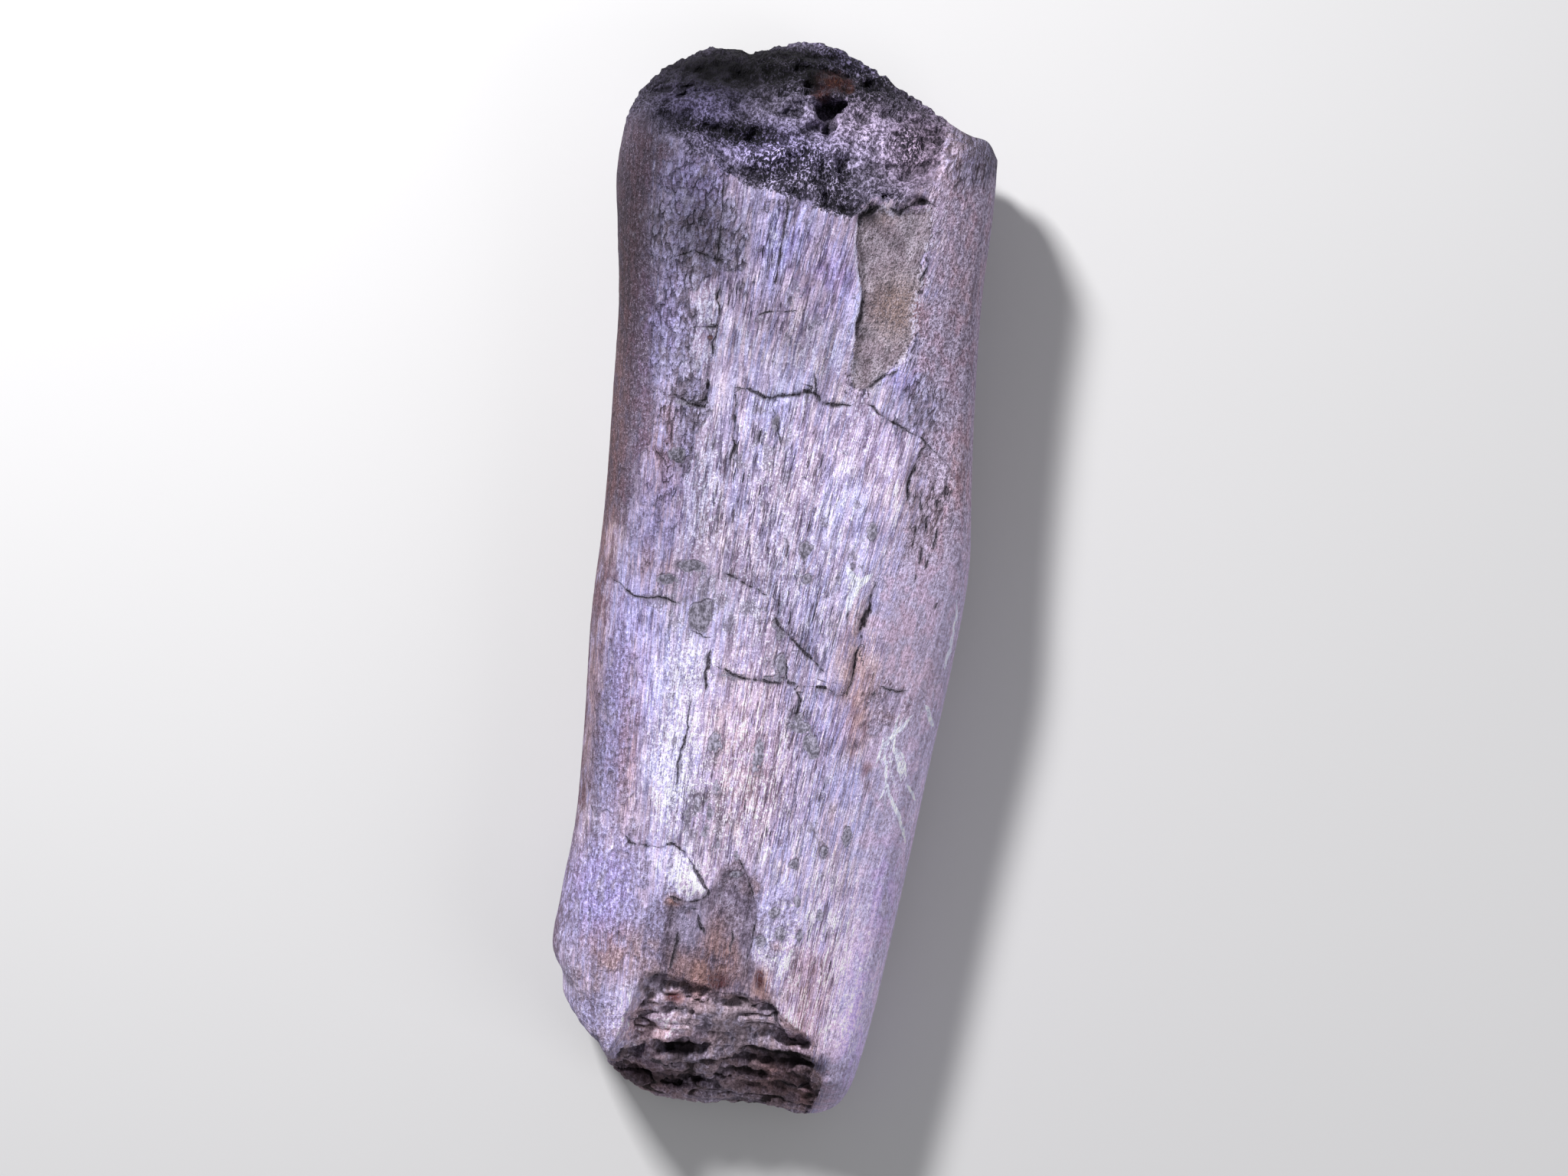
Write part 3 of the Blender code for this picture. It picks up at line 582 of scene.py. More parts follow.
def spots(x, y, places):
    """The strongest of several soft spots: strength times a fall from 1 to 0 over one and a half radii."""
    total = np.zeros(np.shape(x))
    for *spot, strength in places:
        total = np.maximum(total, strength * (1 - ramp(radii(x, y, *spot), 0.2, 1.5)))
    return total


def flat(x, y):
    """The places on the ground below x and y."""
    return np.stack([x, y, np.zeros_like(x)], axis=-1)


def jagged(x, y, height):
    """How far a broken edge wanders from its smooth line: two sizes of lumps along it."""
    place = flat(x, 0.3 * y)
    return height * (round_lumps(place, 13) + 0.5 * round_lumps(place + 57, 4.5))


def past_break(x, y):
    """How far a place is past the edge of the outer bone, towards either end; negative on the shaft. On the
    right the outer bone reaches both rims. The lower edge also wanders sideways by lumps."""
    sideways = 8 * round_lumps(flat(0.4 * x, y) + 19, 15)
    top = y - through(TOP_BREAK, x) - REACHES_RIM * ramp(x, 100, 112)
    bottom = through(BOTTOM_BREAK, x + sideways) - y - REACHES_RIM * ramp(x - 0.4 * (y + 400), 72, 82)
    return np.maximum(top, bottom) + jagged(x, y, BREAK_WANDER)


def fading(x, y, top_left, top_right, bottom_left):
    """How far the broken edge fades out, 0 to 1: towards both sides at the wider end and towards the left at
    the other. Each pair says how far from the middle it starts to fade and where it is gone."""
    top = np.maximum(ramp(-x, *top_left), ramp(x, *top_right))
    return np.where(y > 0, top, ramp(-x, *bottom_left))


def end_slopes(x, y):
    """How high the face still is where it falls to the rim at both broken ends, from 1 down to 0: the root of
    the share of the way to the rim that is left."""
    share = np.linspace(0, 1, 400)
    top_end = np.interp(x, *along_edge(TOP_EDGE, share).T)
    bottom_end = np.interp(x, *along_edge(BOTTOM_EDGE, share).T)
    to_top = (top_end - y) / np.maximum(top_end - through(TOP_BREAK, x), SHORTEST_FALL)
    to_bottom = (y - bottom_end) / np.maximum(through(BOTTOM_BREAK, x) - bottom_end, SHORTEST_FALL)
    return (np.clip(to_top, 0, 1) * np.clip(to_bottom, 0, 1)) ** (1 / BREAK_SHARPNESS)


def torn_into_steps(height, wander, steepness):
    """Turns a slope into uneven steps: level treads joined by steep risers, each shifted by wander. The steps
    fade out where steepness is 0 and at the rim."""
    level = height / TERRACE_HEIGHT + wander
    whole = np.floor(level)
    stepped = (whole + ramp(level - whole, 0.45, 1.0) - wander) * TERRACE_HEIGHT
    share = steepness * ramp(height, 8, 40)
    return (1 - share) * height + share * stepped


def ledge_cut(x, y, wander, patchy):
    """The depth of the ledges. Each drops sharply at its upper side and comes back slowly below."""
    depth = np.zeros(np.shape(x))
    for points, half_width, full_depth in LEDGES:
        below = line_distance(x, y, points)[0] + wander
        near = ramp(below, -0.75 * half_width, 0) * (1 - ramp(below, 0.1 * half_width, 1.3 * half_width))
        ends = (np.abs(below) < 2 * half_width) * (0.75 + 0.55 * patchy)
        depth = np.maximum(depth, full_depth * near * ends)
    return depth


def pit_cut(x, y, wander):
    """The depth of the pits, which are round, and of the deep hole."""
    depth = HOLE_DEPTH * ramp(patch_distance(x, y, HOLE) + 0.8 * wander, -1.5, HOLE_EDGE)
    for *pit, full_depth in PITS:
        r = radii(x, y, *pit) + 0.06 * wander
        depth = np.maximum(depth, full_depth * (1 - ramp(r, 0.35, 1.1)))
    return depth


def flaked_cut(x, y, wander, patchy):
    """The depth of the flaked patches. The tan one is uneven, and shallow on the right and low down."""
    depth = np.zeros(np.shape(x))
    for corners, full_depth, edge in FLAKED_PATCHES:
        inside = ramp(patch_distance(x, y, corners) + 0.9 * wander, 0, edge)
        if corners is TAN_PATCH:
            inside = inside * (0.75 + 0.45 * patchy) * (1 - 0.75 * ramp(x, 72, 100))
            inside = inside * (0.3 + 0.7 * ramp(y, 150, 190))
        depth = np.maximum(depth, full_depth * inside)
    return depth


def depth_cut(x, y):
    """How deep ledges, pits and flaked patches reach below the dome, less the raised slabs."""
    wander = jagged(x, y, 1.8)
    patchy = lumps(flat(x, y) + 211, (15, 12, 12))
    depth = np.maximum(ledge_cut(x, y, wander, patchy), pit_cut(x, y, wander))
    depth = np.maximum(depth, flaked_cut(x, y, wander, patchy))
    for corners, height, edge in RAISED_SLABS:
        depth = depth - height * ramp(patch_distance(x, y, corners) + wander, 0, edge)
    return depth


def plain_height(y, across):
    """The front's height above the rim: a flattened dome across the bone."""
    return (through(FRONT_HEIGHT, y) - through(RIM_HEIGHT, y)) * dome(across, FRONT_SQUARENESS)


def front_height(x, y, across):
    """Height of the front: the dome, which falls to the rim at both ends, with torn steps and lumps on the
    falls, less the cuts."""
    height = plain_height(y, across) * end_slopes(x, y)
    faded = fading(x, y, (55, 100), (66, 92), (50, 80))
    broken = ramp(past_break(x, y), 0, STEP_WIDTH + FADED_WIDTH * faded)
    place = np.stack([x, y, height], axis=-1)
    wander = 0.7 * lumps(place, END_LUMP_SIZE) + 0.45 * lumps(place + 301, (22, 60, 60))
    lumpy_part = ramp(y, -385, -365) * (y < 0)
    torn = torn_into_steps(height, wander, TERRACE_SHARE * (1 - 0.75 * lumpy_part)) - OUTER_BONE_STEP
    lumpy = torn - height + END_LUMP_HEIGHT * lumps(place + 500, END_LUMP_SIZE)
    uneven = broken * lumpy + SHAFT_LUMP_HEIGHT * lumps(place, SHAFT_LUMP_SIZE)
    cut = depth_cut(x, y) * ramp(height, 0, 25)
    return through(RIM_HEIGHT, y) + np.maximum(height + ramp(height, 0, 18) * (uneven - cut), 0)


def back_place(x, y, across, along):
    """The back sheet: a dome turned down from the rim and worn flat at the ground, whose broken ends have
    uneven hollows."""
    rim = through(RIM_HEIGHT, y)
    end_share = BACK_END_LENGTH / (ROW_DENSITY[-1][0] - ROW_DENSITY[0][0])
    from_end = np.minimum(along, 1 - along)
    ends = dome(np.clip(from_end / (2 * end_share), 0, 0.5), BACK_SQUARENESS)
    z = np.maximum(rim * (1 - BACK_OVERREACH * dome(across, BACK_SQUARENESS) * ends), 0)
    hollow = 0.5 + 0.5 * lumps(np.stack([x, y, z], axis=-1), END_LUMP_SIZE)
    near_end = 1 - ramp(from_end, 0.02, 0.08)
    moved = BACK_END_HOLLOW * near_end * hollow * ramp(1 - z / rim, 0.05, 0.3) * np.sign(0.5 - along)
    return np.stack([x, y + moved, z], axis=-1)


def quads(ids, flip):
    """The faces between neighbours of a grid of point numbers, turned over if flip is set."""
    corners = [ids[:-1, :-1], ids[:-1, 1:], ids[1:, 1:], ids[1:, :-1]]
    return np.stack(corners[::-1] if flip else corners, axis=-1).reshape(-1, 4)


def build_sheets():
    """The smooth form: the front grid, the back grid on every second row and column, which shares the rim
    points, and one small face for each rim point the back skips. The plain sheets are the same without the
    falls at both ends and the cuts, for patterns that run straight on over them."""
    across, along = np.meshgrid(column_places(), row_places())
    x, y = np.moveaxis(over_outline(across, along), -1, 0)
    rim = through(RIM_HEIGHT, y)
    every = (slice(None, None, 2), slice(None, None, 2))
    front = np.stack([x, y, front_height(x, y, across)], axis=-1)
    back = back_place(x[every], y[every], across[every], along[every])
    plain_back = rim[every] * (1 - dome(across[every], BACK_SQUARENESS))
    front_id = np.arange(x.size).reshape(x.shape)
    back_id = front_id[every].copy()
    inner = back_id[1:-1, 1:-1]
    back_id[1:-1, 1:-1] = front_id.size + np.arange(inner.size).reshape(inner.shape)
    rim_id = np.concatenate([front_id[0, :-1], front_id[:-1, -1], front_id[-1, :0:-1], front_id[:0:-1, 0]])
    return SimpleNamespace(
        points=np.concatenate([front.reshape(-1, 3), back[1:-1, 1:-1].reshape(-1, 3)]),
        front_id=front_id, back_id=back_id,
        front_faces=quads(front_id, False), back_faces=quads(back_id, True),
        gaps=np.stack([rim_id[::2], np.roll(rim_id, -2)[::2], rim_id[1::2]], axis=-1),
        plain_front=np.stack([x, y, rim + plain_height(y, across)], axis=-1),
        plain_back=np.stack([x[every], y[every], plain_back], axis=-1))


def lean(across_surface, y):
    """Places along the fibres, which fan out: the place across the surface less the lean and the fan times y,
    so that a fibre keeps one value, and y."""
    fan = np.clip(across_surface, -130, 130)
    return np.stack([across_surface - y * (GRAIN_LEAN + GRAIN_FAN * fan), y], axis=-1)


def row_lengths(rows):
    """The length passed along each row of a sheet, from its left side."""
    step = np.linalg.norm(np.diff(rows, axis=1), axis=-1)
    return np.concatenate([np.zeros((len(rows), 1)), np.cumsum(step, axis=1)], axis=1)


def fibre_places(sheets):
    """The place along the fibres of each face corner, and of each point. The place across the surface is the
    length of the plain curve from the middle of the front. It goes on round both rims to the middle of the
    back, where the two sides meet, so a corner there takes the value of its own side."""
    points, front_id, back_id, back_faces = sheets.points, sheets.front_id, sheets.back_id, sheets.back_faces
    front, back = row_lengths(sheets.plain_front), row_lengths(sheets.plain_back)
    middle = front_id.shape[1] // 2
    front = front - front[:, middle:middle + 1] + sheets.plain_front[:, middle, 0][:, None]
    every = front[::2]
    on_left = every[:, :1] - back
    on_right = every[:, -1:] + back[:, -1:] - back
    values = np.zeros((2, len(points)))
    values[0, back_id], values[1, back_id] = on_left, on_right
    values[:, front_id] = front
    y = points[:, 1]
    left, right = lean(values[0], y), lean(values[1], y)
    columns = back_id.shape[1] - 1
    is_right = (np.arange(len(back_faces)) % columns >= columns // 2)[:, None, None]
    on_back = np.where(is_right, right[back_faces], left[back_faces])
    by_face = (left[sheets.front_faces], on_back, left[sheets.gaps])
    inner = np.zeros(len(points))
    inner[back_id] = np.where(np.arange(columns + 1) < columns // 2, on_left, on_right)
    inner[front_id] = front
    return np.concatenate([places.reshape(-1, 2) for places in by_face]), lean(inner, y)


def point_normals(points, sheets):
    """Unit normals at the points: the sum of the cross products of the diagonals of the faces around each."""
    normals = np.zeros_like(points)
    for faces in (sheets.front_faces, sheets.back_faces):
        a, b, c, d = (points[faces[:, k]] for k in range(4))
        face = np.cross(c - a, d - b)
        for k in range(4):
            np.add.at(normals, faces[:, k], face)
    return normals / np.maximum(np.linalg.norm(normals, axis=1, keepdims=True), 1e-9)


def moved_about(x, y):
    """The places moved by lumps of two sizes each way, which makes what is drawn at them jagged."""
    place = flat(x, y)
    moved_x = x + 1.8 * round_lumps(place, 9) + 0.9 * round_lumps(place + 31, 4)
    moved_y = y + 1.8 * round_lumps(place + 77, 9) + 0.9 * round_lumps(place + 93, 4)
    return moved_x, moved_y


def crack_field(x, y, cracks):
    """The signed distance to the nearest crack's middle, its half width there, which tapers to both ends, and
    how deep its groove is at each place. The places are first moved about, which makes it jagged."""
    place = flat(x, y)
    x, y = moved_about(x, y)
    signed, width, depth = np.full(x.shape, 30.0), np.zeros(x.shape), np.zeros(x.shape)
    for points, half_width, full_depth in cracks:
        far, share = line_distance(x, y, points)
        taper = ramp(np.minimum(share, 1 - share), -0.04, 0.22)
        closer = np.abs(far) < np.abs(signed)
        signed = np.where(closer, far, signed)
        width = np.where(closer, half_width * taper * (np.abs(far) < 6), width)
        depth = np.maximum(depth, 0.6 * full_depth * taper * (1 - ramp(np.abs(far), 0, half_width + 1.2)))
    return np.clip(signed, -8, 8), width, depth * (0.65 + 0.35 * round_lumps(place + 11, 8))


def inside_dabs(x, y):
    """The distance to the edge of the nearest dab, positive inside it."""
    x, y = moved_about(x, y)
    inside = np.full(x.shape, FAR_OUTSIDE)
    for *middle, half_width, half_height in DABS:
        r = radii(x, y, *middle, half_width, half_height)
        inside = np.maximum(inside, (1 - r) * min(half_width, half_height))
    return inside


def long_layers(points):
    """Long, low lumps for the layers of the narrow broken end."""
    return lumps(points + 83, (34, 10, 11))


def short_layers(points):
    """Shorter lumps between the long ones."""
    return lumps(points + 29, (12, 5, 6))


def crevices(points):
    """Dark gaps between the layers, 0 to 1: where their lumps change sign, and long ones only in places."""
    long_crevice = 1 - ramp(np.abs(long_layers(points)), 0.03, 0.28)
    short_crevice = 1 - ramp(np.abs(short_layers(points)), 0.02, 0.28)
    open_here = ramp(lumps(points + 251, (30, 14, 20)), -0.45, 0.25)
    return np.maximum(long_crevice * open_here, 0.5 * short_crevice)


def zone_facts(points, front, below_rim):
    """Distances to the edges of the zones, positive inside. Also how far the broken edge fades out, where the
    tan patch has a sharp lip, and how far a place is on the left of the bone."""
    x, y, z = points.T
    wander = jagged(x, y, 1.0)
    lumpy = 16 * round_lumps(points + 170, 34)
    end_faces = np.maximum(y - 385, -362 - y) - 0.25 * (z - 40) + lumpy + jagged(x, y, BREAK_WANDER)
    spongy = (1 - below_rim) * past_break(x, y) + below_rim * end_faces
    tan = np.where(front, patch_distance(x, y, TAN_PATCH) + 1.6 * wander, FAR_OUTSIDE)
    spalled = np.where(front, patch_distance(x, y, SPALLED_PATCH) + wander, FAR_OUTSIDE)
    side = np.maximum(through(LEFT_FLANK, y) - x, x - through(RIGHT_FLANK, y))
    return {
        "spongy": np.clip(spongy, -30, 30),
        "faded_break": fading(x, y, (90, 114), (72, 94), (54, 80)),
        "tan": np.clip(tan, FAR_OUTSIDE, -FAR_OUTSIDE),
        "spalled": np.clip(spalled, FAR_OUTSIDE, -FAR_OUTSIDE),
        "dab": np.where(front, inside_dabs(x, y), FAR_OUTSIDE),
        "flank": np.clip(side, -60, 60) * (1 - below_rim) - 4 * below_rim,
        "lip": np.where(front, ramp(62 - x, 0, 10) * ramp(y, 168, 190), 0),
        "left": ramp(-x, 60, 130),
    }


def crack_facts(x, y, front):
    """The cracks of the side that each place is on, and the scratches, which only the front has."""
    facts = {}
    fields = crack_field(x, y, CRACKS), crack_field(x, y, BACK_CRACKS)
    for name, on_front, on_back in zip(("crack", "crack_width", "crack_depth"), *fields):
        facts[name] = np.where(front, on_front, on_back)
    facts["scratch"], width, _ = crack_field(x, y, SCRATCHES)
    facts["scratch_width"] = width * front
    return facts


def surface_facts(points, front):
    """What each place is made of, as named values for the relief and the material: distances in mm to the
    edges of zones, positive inside, and soft shares from 0 to 1."""
    x, y, z = points.T
    to_rim = through(RIM_HEIGHT, y) - z + 16 * round_lumps(points + 23, 50)
    below_rim = np.where(front, 0, ramp(to_rim, 6, 68))
    facts = {**zone_facts(points, front, below_rim), **crack_facts(x, y, front)}
    for name, places in SOFT_SPOTS.items():
        facts[name] = spots(x, y, places) * (1 - below_rim)
    pale = 0.85 * ramp(patch_distance(x, y, PALE_PATCH) + jagged(x, y, 1.0), -0.8, 0.8)
    facts["bloom"] = np.where(front, np.maximum(facts["bloom"], pale), facts["bloom"])
    # The tone is partly painted light and shade over the front, and an even 0.8 below the rim.
    facts["tone"] = (1 - below_rim) * painted_light_shade_and_tone_of(x, y) + 0.8 * below_rim
    facts["porous"] = np.where(y > 0, 1.0, 0.15)
    facts["crevice"] = crevices(points) * ramp(facts["spongy"], 0, 6) * (y < 0)
    grainy = np.maximum(ramp(y, -40, 90), 0.5 * ramp(-x, 0, 60))
    facts["rough_side"] = grainy * (1 - below_rim) + 0.5 * below_rim
    return facts


def spongy_relief(points, crevice):
    """Ridged lumps with pits of two sizes. The narrow end has a third of that, on layers with crevices."""
    ridged = ridges(points, (13, 9, 10))
    pit, _, _ = cells(points, (4.6, 6.0, 4.6))
    big_pit, _, _ = cells(points + 40, (12, 10, 11))
    porous = 1.9 * ridged + 1.3 * ridges(points + 61, (6.5, 5, 5.5))
    porous = porous + 0.9 * lumps(points + 19, (3.6, 4.4, 3.6))
    porous = porous - 1.2 * (1 - ramp(pit, 0.1, 0.55)) - 2.6 * (1 - ramp(big_pit, 0.08, 0.45)) - 0.8
    layered = 1.2 * long_layers(points) + 1.3 * short_layers(points) - 2.6 * crevice
    layered = layered + 0.8 * ridges(points + 47, (6, 3.4, 4)) + 0.8 * ridged
    return np.where(points[:, 1] > 0, porous, 0.35 * porous + layered)


def outer_relief(points, grain, facts):
    """Fibres along the grain, or scales where the bone is scaly, with split slabs. The flanks, the tan patch
    and the dabs are smoother, and the dabs are raised."""
    fibre = 0.3 * rough(grain, (3.6, 34, 3.6)) + 0.25 * rough(grain, (9, 60, 9))
    dimple, _, _ = cells(points + 3, (4.5, 8, 4.5))
    scales = 0.9 * rough(points + 7, (6, 9, 6)) - 0.7 * (1 - ramp(dimple, 0.1, 0.4))
    share = ramp(facts["scaly"], 0.2, 0.8)
    fibre = (1 - share) * fibre + share * scales
    _, gap, value = cells(grain, (7.5, 38, 7.5))
    slabs = 0.5 * (value - 0.5) - 0.35 * (1 - ramp(gap, 0.0, 0.3))
    skin = 0.28 * rough(points, (4, 5.5, 4))
    dab = facts["dab"]
    filler = 0.9 * ramp(dab, -0.4, 1.2) + 0.3 * ramp(dab, 0, 2) * round_lumps(points, 3)
    covered = np.maximum(ramp(facts["tan"], -1, 1), ramp(dab, -0.5, 0.5))
    smooth = np.maximum(ramp(facts["flank"], -6, 8), covered)
    return (1 - smooth) * (fibre + slabs) + smooth * skin - facts["crack_depth"] + filler


def relief(points, grain, facts):
    """The height, along the surface's normal, of the fine relief of spongy bone, outer bone and cracks."""
    grain = np.concatenate([grain, np.zeros((len(grain), 1))], axis=1)
    faded = facts["faded_break"]
    spongy = ramp(facts["spongy"], -0.5 - 14 * faded, 2.5 + 16 * faded)
    sponge = spongy_relief(points, facts["crevice"])
    outer = outer_relief(points, grain, facts)
    return spongy * sponge + (1 - spongy) * outer - 0.5 * facts["crack_depth"] * spongy


def hollowness(points, normals, ids, passes):
    """How far each place lies outside (+) or inside (-) the surface blurred over its grid neighbours."""
    grid = points[ids]
    for _ in range(passes):
        grid[1:-1] = (grid[:-2] + 2 * grid[1:-1] + grid[2:]) / 4
        grid[:, 1:-1] = (grid[:, :-2] + 2 * grid[:, 1:-1] + grid[:, 2:]) / 4
    return np.einsum("ijk,ijk->ij", points[ids] - grid, normals[ids])


def cavities(points, sheets):
    """How far each place stands out of the surface around it (+) or lies in a hollow of it (-)."""
    normals = point_normals(points, sheets)
    front_id, back_id = sheets.front_id, sheets.back_id
    cavity = np.zeros(len(points))
    cavity[back_id] = hollowness(points, normals, back_id, 4)
    near, wide = (hollowness(points, normals, front_id, passes) for passes in (8, 40))
    cavity[front_id] = near + 0.5 * wide
    return np.clip(cavity, -3, 3)


def make_mesh(points, sheets, facts, fibre_corners):
    """The mesh of the given points, in metres, with each fact at its points and the grain at its corners."""
    mesh = bpy.data.meshes.new("bone_surface")
    faces = [*sheets.front_faces.tolist(), *sheets.back_faces.tolist(), *sheets.gaps.tolist()]
    mesh.from_pydata((points / 1000).tolist(), [], faces)
    for name, values in facts.items():
        layer = mesh.attributes.new(name, "FLOAT", "POINT")
        layer.data.foreach_set("value", values.astype(np.float32))
    layer = mesh.attributes.new("grain", "FLOAT_VECTOR", "CORNER")
    flat_grain = np.concatenate([fibre_corners, np.zeros((len(fibre_corners), 1))], axis=1)
    layer.data.foreach_set("vector", flat_grain.astype(np.float32).ravel())
    mesh.shade_smooth()
    mesh.validate()
    return mesh


def make_bone():
    """The bone: the smooth form moved by the relief along its normals, level on the ground, with its middle
    over the origin. Also gives how far it was moved to get there."""
    sheets = build_sheets()
    front = np.arange(len(sheets.points)) < sheets.front_id.size
    facts = surface_facts(sheets.points, front)
    fibre_corners, fibre_points = fibre_places(sheets)
    off_ground = ramp(sheets.points[:, 2], 0.5, 6)
    height = relief(sheets.points, fibre_points, facts) * off_ground
    points = sheets.points + point_normals(sheets.points, sheets) * height[:, None]
    points[:, 2] = np.maximum(points[:, 2], 0)
    # The material reads the cavity only to paint shade into the hollows.
    facts["cavity"] = cavities(points, sheets)
    middle = (points.min(axis=0) + points.max(axis=0)) / 2
    shift = np.array([middle[0], middle[1], 0.0])
    bone = bpy.data.objects.new("fossil_bone", make_mesh(points - shift, sheets, facts, fibre_corners))
    bpy.context.scene.collection.objects.link(bone)
    return bone, shift


class Tree:
    """Adds shader nodes to a material and joins them up."""

    def __init__(self, material):
        material.use_nodes = True
        self.nodes = material.node_tree.nodes
        self.links = material.node_tree.links
        self.shader = self.nodes["Principled BSDF"]

    def add(self, kind, inputs, **settings):
        """A new node of the given kind, with its inputs and settings."""
        node = self.nodes.new(kind)
        for name, value in settings.items():
            setattr(node, name, value)
        for name, value in inputs.items():
            self.put(node.inputs[name], value)
        return node

    def put(self, socket, value):
        """Joins an output to the socket, or gives it a plain value or colour."""
        if isinstance(value, bpy.types.NodeSocket):
            self.links.new(value, socket)
        elif isinstance(value, tuple) and socket.type == "RGBA":
            socket.default_value = (*value, 1.0)
        else:
            socket.default_value = value

    def math(self, operation, a, b=0.0, c=0.0):
        """One operation on plain values."""
        return self.add("ShaderNodeMath", {0: a, 1: b, 2: c}, operation=operation).outputs[0]

    def plus(self, a, b):
        """The sum of the two."""
        return self.math("ADD", a, b)

    def less(self, a, b):
        """a less b."""
        return self.math("SUBTRACT", a, b)

    def weigh(self, a, weight, b):
        """a times its weight, plus b."""
        return self.math("MULTIPLY_ADD", a, weight, b)

    def most(self, a, b):
        """The larger of the two."""
        return self.math("MAXIMUM", a, b)

    def off_zero(self, a):
        """How far a is from zero."""
        return self.math("ABSOLUTE", a)

    def times(self, *values):
        """The product of all the values."""
        total = values[0]
        for value in values[1:]:
            total = self.math("MULTIPLY", total, value)
        return total

    def ramp(self, value, start, end, low=0.0, high=1.0):
        """low before start and high after end, smooth between."""
        inputs = {"Value": value, "From Min": start, "From Max": end, "To Min": low, "To Max": high}
        return self.add("ShaderNodeMapRange", inputs, interpolation_type="SMOOTHSTEP").outputs["Result"]

    def mix(self, share, a, b, blend="MIX"):
        """a where the share is 0 and b where it is 1, or their blend."""
        node = self.add("ShaderNodeMix", {0: share}, data_type="RGBA", blend_type=blend)
        self.put(node.inputs[6], a)
        self.put(node.inputs[7], b)
        return node.outputs[2]

    def cover(self, under, over, *shares):
        """Under, covered by over as far as the product of the shares."""
        return self.mix(self.times(*shares), under, over)

    def tinted(self, under, tint, *shares):
        """Under, multiplied by a tint as far as the product of the shares."""
        return self.cover(under, self.mix(1.0, under, tint, "MULTIPLY"), *shares)

    def vectors(self, operation, a, b):
        """One operation on vectors or colours."""
        return self.add("ShaderNodeVectorMath", {0: a, 1: b}, operation=operation).outputs[0]

    def scaled(self, vector, across, along):
        """The vector divided by a size across and through the bone, and one along it."""
        return self.vectors("MULTIPLY", vector, (1 / across, 1 / along, 1 / across))

    def noise(self, vector, across, along, detail=2.0, roughness=0.5, dimensions="3D"):
        """Smooth noise from 0 to 1, of one size across and another along."""
        vector = self.scaled(vector, across, along)
        inputs = {"Vector": vector, "Scale": 1.0, "Detail": detail, "Roughness": roughness}
        return self.add("ShaderNodeTexNoise", inputs, noise_dimensions=dimensions).outputs["Fac"]

    def cells(self, vector, dimensions="3D"):
        """Random cells: the distance to the nearest middle, and that cell's colour."""
        inputs = {"Vector": vector, "Scale": 1.0}
        return self.add("ShaderNodeTexVoronoi", inputs, voronoi_dimensions=dimensions).outputs

    def bent(self, p, vector, across, along, bend_across, bend_along):
        """The scaled vector, moved about by uneven values so that patterns at it bend."""
        moved = {"X": self.times(p.medium, bend_across), "Y": self.times(p.small, bend_along)}
        moved = self.add("ShaderNodeCombineXYZ", moved).outputs[0]
        return self.vectors("ADD", self.scaled(vector, across, along), moved)

    def grain_cells(self, p, *sizes):
        """Flat cells along the grain: the distance to the nearest middle, and three values of that cell."""
        cell = self.cells(self.bent(p, p.grain, *sizes), "2D")
        return cell["Distance"], *self.add("ShaderNodeSeparateColor", {0: cell["Color"]}).outputs


# In the functions below t is a material's tree of nodes, f the facts of the surface and p the patterns that
# are made from them. A pair of numbers after a value in t.ramp says where its smooth change starts and ends.
def shared_patterns(t):
    """The facts of the surface, and uneven values that the zones and finishes share. Sizes are in mm."""
    f = SimpleNamespace()
    for name in MATERIAL_FACTS:
        setattr(f, name, t.add("ShaderNodeAttribute", {}, attribute_name=name).outputs["Fac"])
    place = t.add("ShaderNodeTexCoord", {}).outputs["Object"]
    place = t.add("ShaderNodeVectorMath", {0: place, "Scale": 1000.0}, operation="SCALE").outputs[0]
    grain = t.add("ShaderNodeAttribute", {}, attribute_name="grain").outputs["Vector"]
    p = SimpleNamespace(place=place, grain=grain)
    p.large = t.noise(place, 55, 85, 1)
    p.medium = t.noise(place, 11, 19, 2, 0.55)
    p.small = t.noise(place, 2.4, 3.4, 2, 0.6)
    p.tiny = t.noise(place, 1.1, 1.4, 2, 0.6)
    p.streaks = t.noise(grain, 1.0, 22, 2, 0.55, "2D")
    p.dash = t.noise(grain, 1.5, 5.5, 2, 0.6, "2D")
    p.split = t.noise(grain, 7, 26, 2, 0.6, "2D")
    p.wobble = t.weigh(p.small, 5.0, -2.5)
    p.mottle = t.weigh(p.small, 0.4, t.weigh(p.dash, 0.25, t.times(p.medium, 0.35)))
    return f, p


